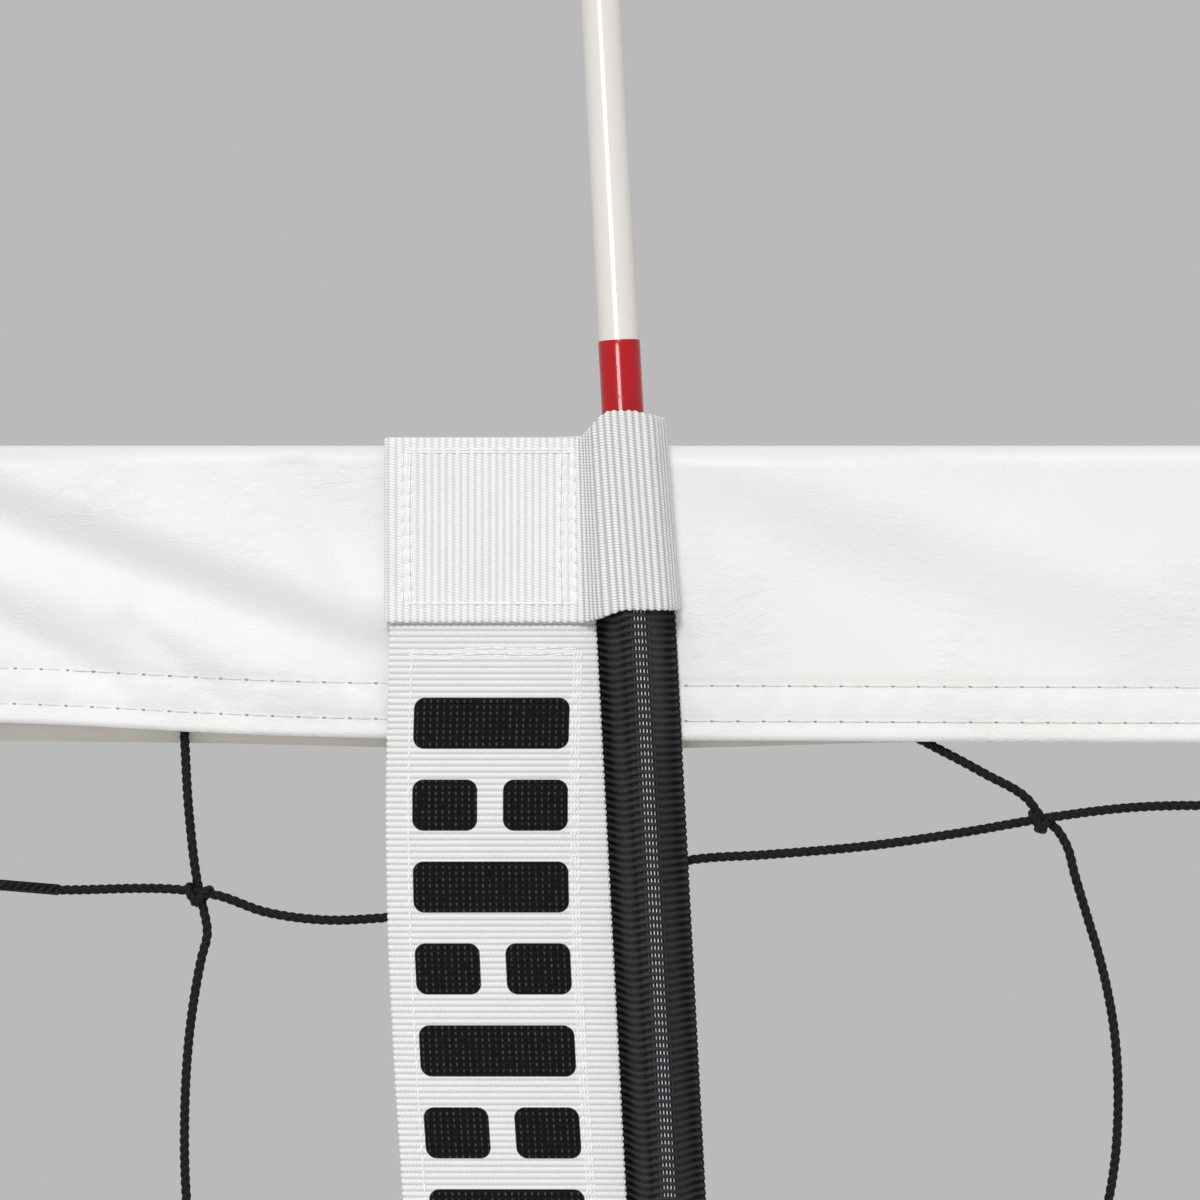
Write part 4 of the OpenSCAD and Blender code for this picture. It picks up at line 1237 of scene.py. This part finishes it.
sleeve_points = np.concatenate([
    np.stack([sleeve_x, front_y, front_z], 2),
    np.stack([sleeve_x[:, back_cols], SLEEVE_BACK + 0 * sleeve_x[:, back_cols], front_z[:, back_cols]], 2)], 1)
sleeve_weave = np.stack([np.concatenate([across, across[back_cols]])[None, :] + 0 * sleeve_points[:, :, 0],
                         sleeve_along[:, None] + 0 * sleeve_points[:, :, 0]], 2)

black_webbing, tree, shader, shade, weave, (across_at, along_at) = webbing_finish(
    "black_webbing", (0.026, 0.028, 0.032), (0.0015, 0.002, 0.003), 0.5, SLEEVE_RIB, 0.5 * MM, 0.00006, 0.0, 0.16)
# painted highlight and shade: each rib is painted lighter along its back, as if catching the light, and black in the
# grooves between
rib_highlight = ramp(tree, weave.outputs["Groove"], 0.02, 0.34)
tree.links.new(rib_highlight, shade.inputs["Factor"])
# where the weave is stretched over the rod, the pale rod shows through in little slits
off_crest = calc(tree, "SUBTRACT", across_at, ROD_OFF + 1.3 * MM)
slit_wave = calc(tree, "PINGPONG", calc(tree, "DIVIDE", off_crest, 0.80 * MM), 0.5)
over_rod = ramp(tree, calc(tree, "ABSOLUTE", off_crest), 2.3 * MM, 0.5 * MM)
open_weave = calc(tree, "MULTIPLY", ramp(tree, slit_wave, 0.31, 0.41), over_rod)
rib_wave = calc(tree, "PINGPONG", calc(tree, "ADD", calc(tree, "DIVIDE", along_at, SLEEVE_RIB), 0.5), 0.5)
slits = calc(tree, "MULTIPLY", open_weave, ramp(tree, rib_wave, 0.22, 0.32))
show_rod = put(tree, "ShaderNodeMix", [(slits, "Factor"), (shade.outputs["Result"], "A")], data_type="RGBA")
show_rod.inputs["B"].default_value = (0.66, 0.67, 0.70, 1)
tree.links.new(show_rod.outputs["Result"], shader.inputs["Base Color"])

black_thread, tree, shader = new_finish("black_thread", (0.02, 0.02, 0.022), 0.5, Sheen_Weight=0.3)
mottled(tree, shader, 900, 0.2)
tack_runs = []
tack_x = np.linspace(1.5 * MM, SLEEVE_RIGHT - 7 * MM, 30)
for tack_z in sleeve_low[2] + (1.0 + 0.7 * np.arange(4)) * MM:
    tack_runs.append((np.stack([MARKER_X + lean_x(tack_z) + tack_x,
                                0 * tack_x + SLEEVE_BACK - 1.9 * MM, 0 * tack_x + tack_z], 1),
                      np.tile([0, -1.0, 0], (len(tack_x), 1))))

for side, turn in SIDES:
    sleeve = lay_mesh(f"{side}_sleeve_webbing", sleeve_points * np.array([turn, turn, 1]),
                      weave=sleeve_weave)
    sleeve.data.materials.append(black_webbing)
    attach(sleeve, "net")
    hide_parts(f"{side}_antenna_sleeve")
    tack = sew(f"{side}_sleeve_tack", turn_runs(tack_runs, turn), 2.0 * MM, radius=0.32 * MM)
    tack.data.materials.append(black_thread)
    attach(tack, "net")
    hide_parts(f"{side}_sleeve_bartack")

# ---------------------------------------------------------------- top wraps
# A second length of white webbing, its ribs upright. It lies flat on the strap, passes in a loop
# round the antenna, and is sewn down through the strap with a box of stitches.
WRAP_RIB = 1.68 * MM
WRAP_T = 1.25 * MM
wrap_low, wrap_high = (np.array(c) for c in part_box("right_top_wrap"))
WRAP_FACE = -8.55 * MM
wrap_path, wrap_along = fillet(
    [np.array(p) * MM + (MARKER_X, 0) for p in (
        (-41, -7.9), (-46.9, -7.6), (-46.0, -9.0), (-41, -8.6), (-1.2, -8.5), (2.4, -16.2),
        (8.8, -18.3), (15.9, -17.0), (19.3, -9.5), (15, -5.1), (-4, -5.2))],
    (0.5 * MM, 0.7 * MM, 2 * MM, 5.5 * MM, 3.6 * MM, 4.2 * MM, 4.5 * MM, 3.5 * MM, 1.5 * MM),
    WRAP_RIB / 4)
run = np.gradient(wrap_path, axis=0)
run /= np.linalg.norm(run, axis=1)[:, None]
wrap_out = np.stack([run[:, 1], -run[:, 0], 0 * run[:, 0]], 1)
loop = np.clip((wrap_path[:, 0] - MARKER_X + 2 * MM) / (9 * MM), 0, 1)
loop = loop * loop * (3 - 2 * loop)
wrap_top = (1.3 + 6.0 * loop - 1.4 * np.clip((wrap_path[:, 0] - MARKER_X - 12 * MM) / (6 * MM), 0, 1)) * MM
wrap_foot = (-41.6 + 2.9 * loop) * MM
drift = np.clip((wrap_path[:, 0] - MARKER_X + 4 * MM) / (8 * MM), 0, 1)
wrap_lower = np.stack([wrap_path[:, 0] + drift * (lean_x(wrap_foot) + 0.4 * MM), wrap_path[:, 1], wrap_foot], 1)
wrap_upper = np.stack([wrap_path[:, 0] + drift * (lean_x(wrap_top) - 0.8 * MM), wrap_path[:, 1], wrap_top], 1)
wrap_webbing, tree, shader, shade, weave, (across_at, along_at) = webbing_finish(
    "wrap_webbing", (0.98, 0.975, 0.97), (0.55, 0.54, 0.545), 0.62, WRAP_RIB, 0.66 * MM, 0.00018, 0.2)
# bent round the antenna the weave opens; its grooves, and the spaces between the yarns there, are darkened with
# painted shade
LOOP_FROM = wrap_along[np.argmax(loop > 0)]
bent = ramp(tree, along_at, LOOP_FROM - 2 * MM, LOOP_FROM + 2 * MM)
between_yarns = calc(tree, "SUBTRACT", 1.0, weave.outputs["Yarns"])
gap_shade = calc(tree, "MULTIPLY", ramp(tree, weave.outputs["Groove"], 0.0, 0.55),
            calc(tree, "ADD", calc(tree, "MULTIPLY", between_yarns, 0.6), 0.4))
gap_shade = calc(tree, "MULTIPLY", gap_shade, calc(tree, "ADD", calc(tree, "MULTIPLY", bent, 0.35), 0.62))
dot_shade = calc(tree, "MULTIPLY", calc(tree, "MULTIPLY", between_yarns, bent), 0.55)
tree.links.new(calc(tree, "ADD", gap_shade, dot_shade), shade.inputs["Factor"])
WRAP_SEW_Y = WRAP_FACE - 0.62 * MM


def box_line(x0, z0, x1, z1):
    t = np.linspace(0, 1, 60)
    bow = 0.3 * MM * np.sin(t * math.pi)
    points = np.stack([MARKER_X + (x0 + (x1 - x0) * t) * MM - bow * (x0 == x1), 0 * t + WRAP_SEW_Y,
                       (z0 + (z1 - z0) * t) * MM], 1)
    return points, np.tile([0, -1.0, 0], (len(t), 1))


wrap_runs = [box_line(x, -2.0, x, -37.4) for x in (-43.0, -42.4, -41.8, -41.2, -40.6, -6.0, -5.4, -3.7, -3.1, -2.5, -1.9)]
wrap_runs += [box_line(-42.4, z, -2.4, z) for z in (-1.3, -1.9, -37.2)]
for side, turn in SIDES:
    wrap = ribbed(f"{side}_wrap_webbing", wrap_lower, wrap_upper, wrap_out, wrap_along, WRAP_RIB, WRAP_T,
                  across_n=46, turn=turn, sharp=1.8)
    wrap.data.materials.append(wrap_webbing)
    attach(wrap, "net")
    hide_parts(f"{side}_top_wrap")
    box = sew(f"{side}_wrap_sewing", turn_runs(wrap_runs, turn), 3.0 * MM, 3.7 * MM, radius=0.30 * MM, dive=0.6)
    box.data.materials.append(thread_bright)
    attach(box, "net")
    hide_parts(f"{side}_wrap_stitching")

# ---------------------------------------------------------------- antennas
# A glass-fibre tube sprayed gloss white, with 100 mm bands of red tape, and a rubber plug at
# each end. It stands in the sleeve and can be drawn up out of it.
tube_low, tube_high = (np.array(c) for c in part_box("right_antenna_rod"))


rod_white, tree, shader = new_finish("rod_gloss_white", (0.80, 0.765, 0.74), 0.20, Coat_Weight=0.8,
                                     Coat_Roughness=0.09)
mottled(tree, shader, 45, 0.03)
place = put(tree, "ShaderNodeTexCoord")
stretched = put(tree, "ShaderNodeMapping", [(place.outputs["Object"], "Vector")])
stretched.inputs["Scale"].default_value = (1, 1, 0.04)
streak = put(tree, "ShaderNodeTexNoise", [(stretched.outputs[0], "Vector")], Scale=900.0, Detail=3.0)
ripples = put(tree, "ShaderNodeBump", [(streak.outputs["Fac"], "Height")], Distance=0.00003, Strength=0.4)
tree.links.new(ripples.outputs[0], shader.inputs["Normal"])

red_tape, tree, shader = new_finish("red_tape", (0.46, 0.001, 0.007), 0.24, Coat_Weight=0.45,
                                    Coat_Roughness=0.06, Specular_IOR_Level=0.3)
mottled(tree, shader, 60, 0.10)
place = put(tree, "ShaderNodeTexCoord")
scuff = put(tree, "ShaderNodeTexNoise", [(place.outputs["Object"], "Vector")], Scale=520.0, Detail=5.0)
marks = put(tree, "ShaderNodeMapRange", [(scuff.outputs["Fac"], "Value")])
marks.inputs["From Min"].default_value, marks.inputs["From Max"].default_value = 0.62, 0.72
marks.inputs["To Min"].default_value, marks.inputs["To Max"].default_value = 0.2, 0.5
tree.links.new(marks.outputs[0], shader.inputs["Roughness"])

rubber, tree, shader = new_finish("rubber", (0.045, 0.045, 0.045), 0.7)
mottled(tree, shader, 300, 0.2)

PLUG = 4 * MM
ROD_SINE = abs(rod_axis[0])
tube_foot = (tube_low[2] + ROD_R * ROD_SINE)          # height of the tube's lower end on its axis
tube_top = (tube_high[2] - ROD_R * ROD_SINE)


def on_rod(z):
    return np.array([ROD_X, ROD_Y, 0]) + rod_axis * (z / rod_axis[2])


ROD_LEN = (tube_top - tube_foot) / rod_axis[2]
BAND_LEN = 100 * MM
TAPE = 0.14 * MM
for side, turn in SIDES:
    rod = turned(f"{side}_antenna_tube", on_rod(tube_foot), rod_axis,
                 [(0, ROD_R * 0.7), (0, ROD_R - 0.3 * MM), (0.3 * MM, ROD_R)]
                 + [(d, ROD_R) for d in np.linspace(20 * MM, ROD_LEN - 20 * MM, 40)]
                 + [(ROD_LEN - 0.3 * MM, ROD_R), (ROD_LEN, ROD_R - 0.3 * MM), (ROD_LEN, ROD_R * 0.7)], turn=turn)
    rod.data.materials.append(rod_white)
    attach(rod, f"{side}_antenna")
    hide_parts(f"{side}_antenna_rod")
    parts = []
    top = ROD_LEN
    number = 1
    while top > 1 * MM:
        low = max(top - BAND_LEN, 0.5 * MM)
        tape = turned(f"{side}_antenna_band_{number}", on_rod(tube_foot), rod_axis,
                      [(low, ROD_R - 0.2 * MM), (low, ROD_R + TAPE * 0.6), (low + 0.2 * MM, ROD_R + TAPE)]
                      + [(d, ROD_R + TAPE) for d in np.linspace(low + 2 * MM, top - 2 * MM, 6)]
                      + [(top - 0.2 * MM, ROD_R + TAPE), (top, ROD_R + TAPE * 0.6), (top, ROD_R - 0.2 * MM)],
                      turn=turn)
        parts.append(tape)
        top -= 2 * BAND_LEN
        number += 1
    for tape in parts:
        tape.data.materials.append(red_tape)
        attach(tape, f"{side}_antenna")
    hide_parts(f"{side}_antenna_bands")
    dome = [(PLUG * (math.sin(a)), (ROD_R + TAPE) * math.cos(a)) for a in np.linspace(0.0, 1.5, 9)]
    tip = turned(f"{side}_antenna_tip_plug", on_rod(tube_foot) + rod_axis * ROD_LEN, rod_axis,
                 [(-0.2 * MM, ROD_R * 0.7), (-0.2 * MM, ROD_R + TAPE)] + dome, turn=turn)
    tip.data.materials.append(rubber)
    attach(tip, f"{side}_antenna")
    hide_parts(f"{side}_antenna_tip")
    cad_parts[f"{side}_antenna_foot"].data.materials.clear()
    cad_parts[f"{side}_antenna_foot"].data.materials.append(rubber)

# ---------------------------------------------------------------- flaps, hook and loop patches
# Behind the net the strap's ends narrow to tongues. Each passes through a mesh to the front and
# closes on the strap's back with hook and loop, so that the marker can be taken off the net.
FLAP_MID = (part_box("right_top_flap")[1].y - 0.7 * MM)
tongue_low, tongue_high = (np.array(c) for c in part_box("right_top_hook_patch"))
low_tongue_low, low_tongue_high = (np.array(c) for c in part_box("right_bottom_hook_patch"))
TONGUE_MID = tongue_high[1] + 0.7 * MM
TOP_SHOULDER, FOOT_SHOULDER = -BAND_H + 6 * MM, -NET_H + FOOT_H - 6 * MM
SLANT_H = 14 * MM


def narrowing(shoulder, inward, wide, narrow):
    """Edges that go from the strap's full width to the tongue's over a few millimetres."""
    def edges(z):
        t = np.clip((z - shoulder) * inward / (5 * MM), 0, 1)
        t = t * t * (3 - 2 * t)
        return wide[0] + (narrow[0] - wide[0]) * t, wide[1] + (narrow[1] - wide[1]) * t
    return edges


def flap_path(hinge_z, shoulder_z, tongue_z, tip_z):
    """From the strap's fold, along the band's back, then slanting through the mesh to the tip."""
    slant_z = tongue_z + (SLANT_H if hinge_z > tongue_z else -SLANT_H)
    return fillet([(STRAP_START - 0.5 * MM, hinge_z), (FLAP_MID, hinge_z), (FLAP_MID, slant_z),
                   (TONGUE_MID, tongue_z), (TONGUE_MID, tip_z)],
                  (1.6 * MM, 6 * MM, 6 * MM), RIB / ribs_per_row)


def flap_normals(path):
    run = np.gradient(path, axis=0)
    run /= np.linalg.norm(run, axis=1)[:, None]
    return np.stack([0 * run[:, 0], -run[:, 1], run[:, 0]], 1)


foot_edge_x = MARKER_X + lean_x(-NET_H)
FLAPS = {
    "top": (flap_path(TOP_MID, TOP_SHOULDER, tongue_high[2], tongue_low[2]),
            narrowing(TOP_SHOULDER, -1, (MARKER_X - STRAP_W + GRIP * MM, MARKER_X), (tongue_low[0], tongue_high[0])),
            (STRAP_START, TOP_MID), (FLAP_MID, TOP_MID - 5 * MM)),
    "bottom": (flap_path(FOOT_MID, FOOT_SHOULDER, low_tongue_low[2], low_tongue_high[2]),
               narrowing(FOOT_SHOULDER, 1, (foot_edge_x - STRAP_W, foot_edge_x),
                         (low_tongue_low[0], low_tongue_high[0])),
               (STRAP_START, FOOT_MID), (FLAP_MID, FOOT_MID + 5 * MM)),
}

hook_grey, tree, shader = new_finish("hook_pile", (0.62, 0.62, 0.61), 0.5)
mottled(tree, shader, 500, 0.15)
loop_white, tree, shader = new_finish("loop_pile", (0.84, 0.84, 0.82), 0.9, Sheen_Weight=0.8)
mottled(tree, shader, 500, 0.1)
place = put(tree, "ShaderNodeTexCoord")
pile = put(tree, "ShaderNodeTexNoise", [(place.outputs["Object"], "Vector")], Scale=2200.0, Detail=4.0)
fluff = put(tree, "ShaderNodeBump", [(pile.outputs["Fac"], "Height")], Distance=0.0005, Strength=1.0)
tree.links.new(fluff.outputs[0], shader.inputs["Normal"])
HOOK = 1.5 * MM                   # between two hooks


def hook_mat(name, node, turn):
    """A mat of little plastic hooks, facing the strap's loop patch."""
    low, high = (np.array(c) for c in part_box(node))
    plate_y = high[1] - 0.35 * MM
    tubes = []
    for x in np.arange(low[0] + HOOK, high[0] - HOOK / 2, HOOK):
        for z in np.arange(low[2] + HOOK, high[2] - HOOK / 2, HOOK):
            bend = [(x, plate_y, z), (x, plate_y - 0.30 * MM, z), (x, low[1] + 0.08 * MM, z + 0.12 * MM),
                    (x, low[1] + 0.05 * MM, z + 0.34 * MM), (x, low[1] + 0.2 * MM, z + 0.45 * MM)]
            tubes.append(tube_parts(np.array(bend), 0.09 * MM, 4, (1.0, 0, 0)))
    corner = 1.2 * MM
    outline = []
    for cx, cz, a0 in ((high[0] - corner, high[2] - corner, 0), (low[0] + corner, high[2] - corner, 90),
                       (low[0] + corner, low[2] + corner, 180), (high[0] - corner, low[2] + corner, 270)):
        for a in np.radians(np.linspace(a0, a0 + 90, 6)):
            outline.append((cx + corner * math.cos(a), cz + corner * math.sin(a)))
    outline = np.array(outline)
    plate = np.stack([np.stack([outline[:, 0], 0 * outline[:, 0] + y, outline[:, 1]], 1)
                      for y in (plate_y, high[1])])
    tubes.append((plate[:, ::-1], np.zeros(plate.shape[:2] + (2,))))
    return bundle(name, [(ring * np.array([turn, turn, 1]), weave) for ring, weave in tubes])




def pile_mat(name, patches, turn):
    """Looped pile on a thin backing, one mat for each tongue."""
    back_y, face_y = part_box("right_loop_patches")[0].y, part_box("right_loop_patches")[1].y
    tufts = np.random.default_rng(7)
    mats = []
    for low, high in patches:
        x, z = np.arange(low[0], high[0], 0.6 * MM), np.arange(low[2], high[2], 0.6 * MM)[:, None]
        corner = 1.5 * MM
        past = np.clip(corner - np.minimum(z - z[0], z[-1] - z), 0, corner)
        inset = corner - np.sqrt(corner ** 2 - past ** 2)
        middle = (x[0] + x[-1]) / 2
        x = middle + (x[None, :] - middle) * (1 - 2 * inset / (x[-1] - x[0]))
        y = face_y - 0.45 * MM * tufts.random(x.shape) ** 1.5
        front = np.stack([x, y, z + 0 * x], 2)
        back = front[:, [-1, 0]] * (1, 0, 1) + (0, back_y, 0)
        mats.append(np.concatenate([front, back], 1) * np.array([turn, turn, 1]))
    return bundle(name, [(mat, np.zeros(mat.shape[:2] + (2,))) for mat in mats])


for side, turn in SIDES:
    for end, (path_along, edges, bend_from, bend_to) in FLAPS.items():
        path, along = path_along
        left_x, right_x = edges(path[:, 1])
        flap = ribbed(f"{side}_{end}_flap_webbing", np.stack([left_x, path[:, 0], path[:, 1]], 1),
                      np.stack([right_x, path[:, 0], path[:, 1]], 1), flap_normals(path), along, RIB,
                      STRAP_T, turn=turn)
        flap.data.materials.append(white_webbing)
        middle = (MARKER_X if end == "top" else foot_edge_x) - STRAP_W / 2
        start, stop = ((turn * middle, turn * y, z) for y, z in (bend_from, bend_to))
        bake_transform(flap)
        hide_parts(f"{side}_{end}_flap")
        hooks = hook_mat(f"{side}_{end}_hooks", f"right_{end}_hook_patch", turn)
        hooks.data.materials.append(hook_grey)
        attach(hooks, f"{side}_{end}_fastening")
        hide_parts(f"{side}_{end}_hook_patch")
    pile = pile_mat(f"{side}_loop_pile", ((tongue_low, tongue_high), (low_tongue_low, low_tongue_high)), turn)
    pile.data.materials.append(loop_white)
    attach(pile, "net")
    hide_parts(f"{side}_loop_patches")
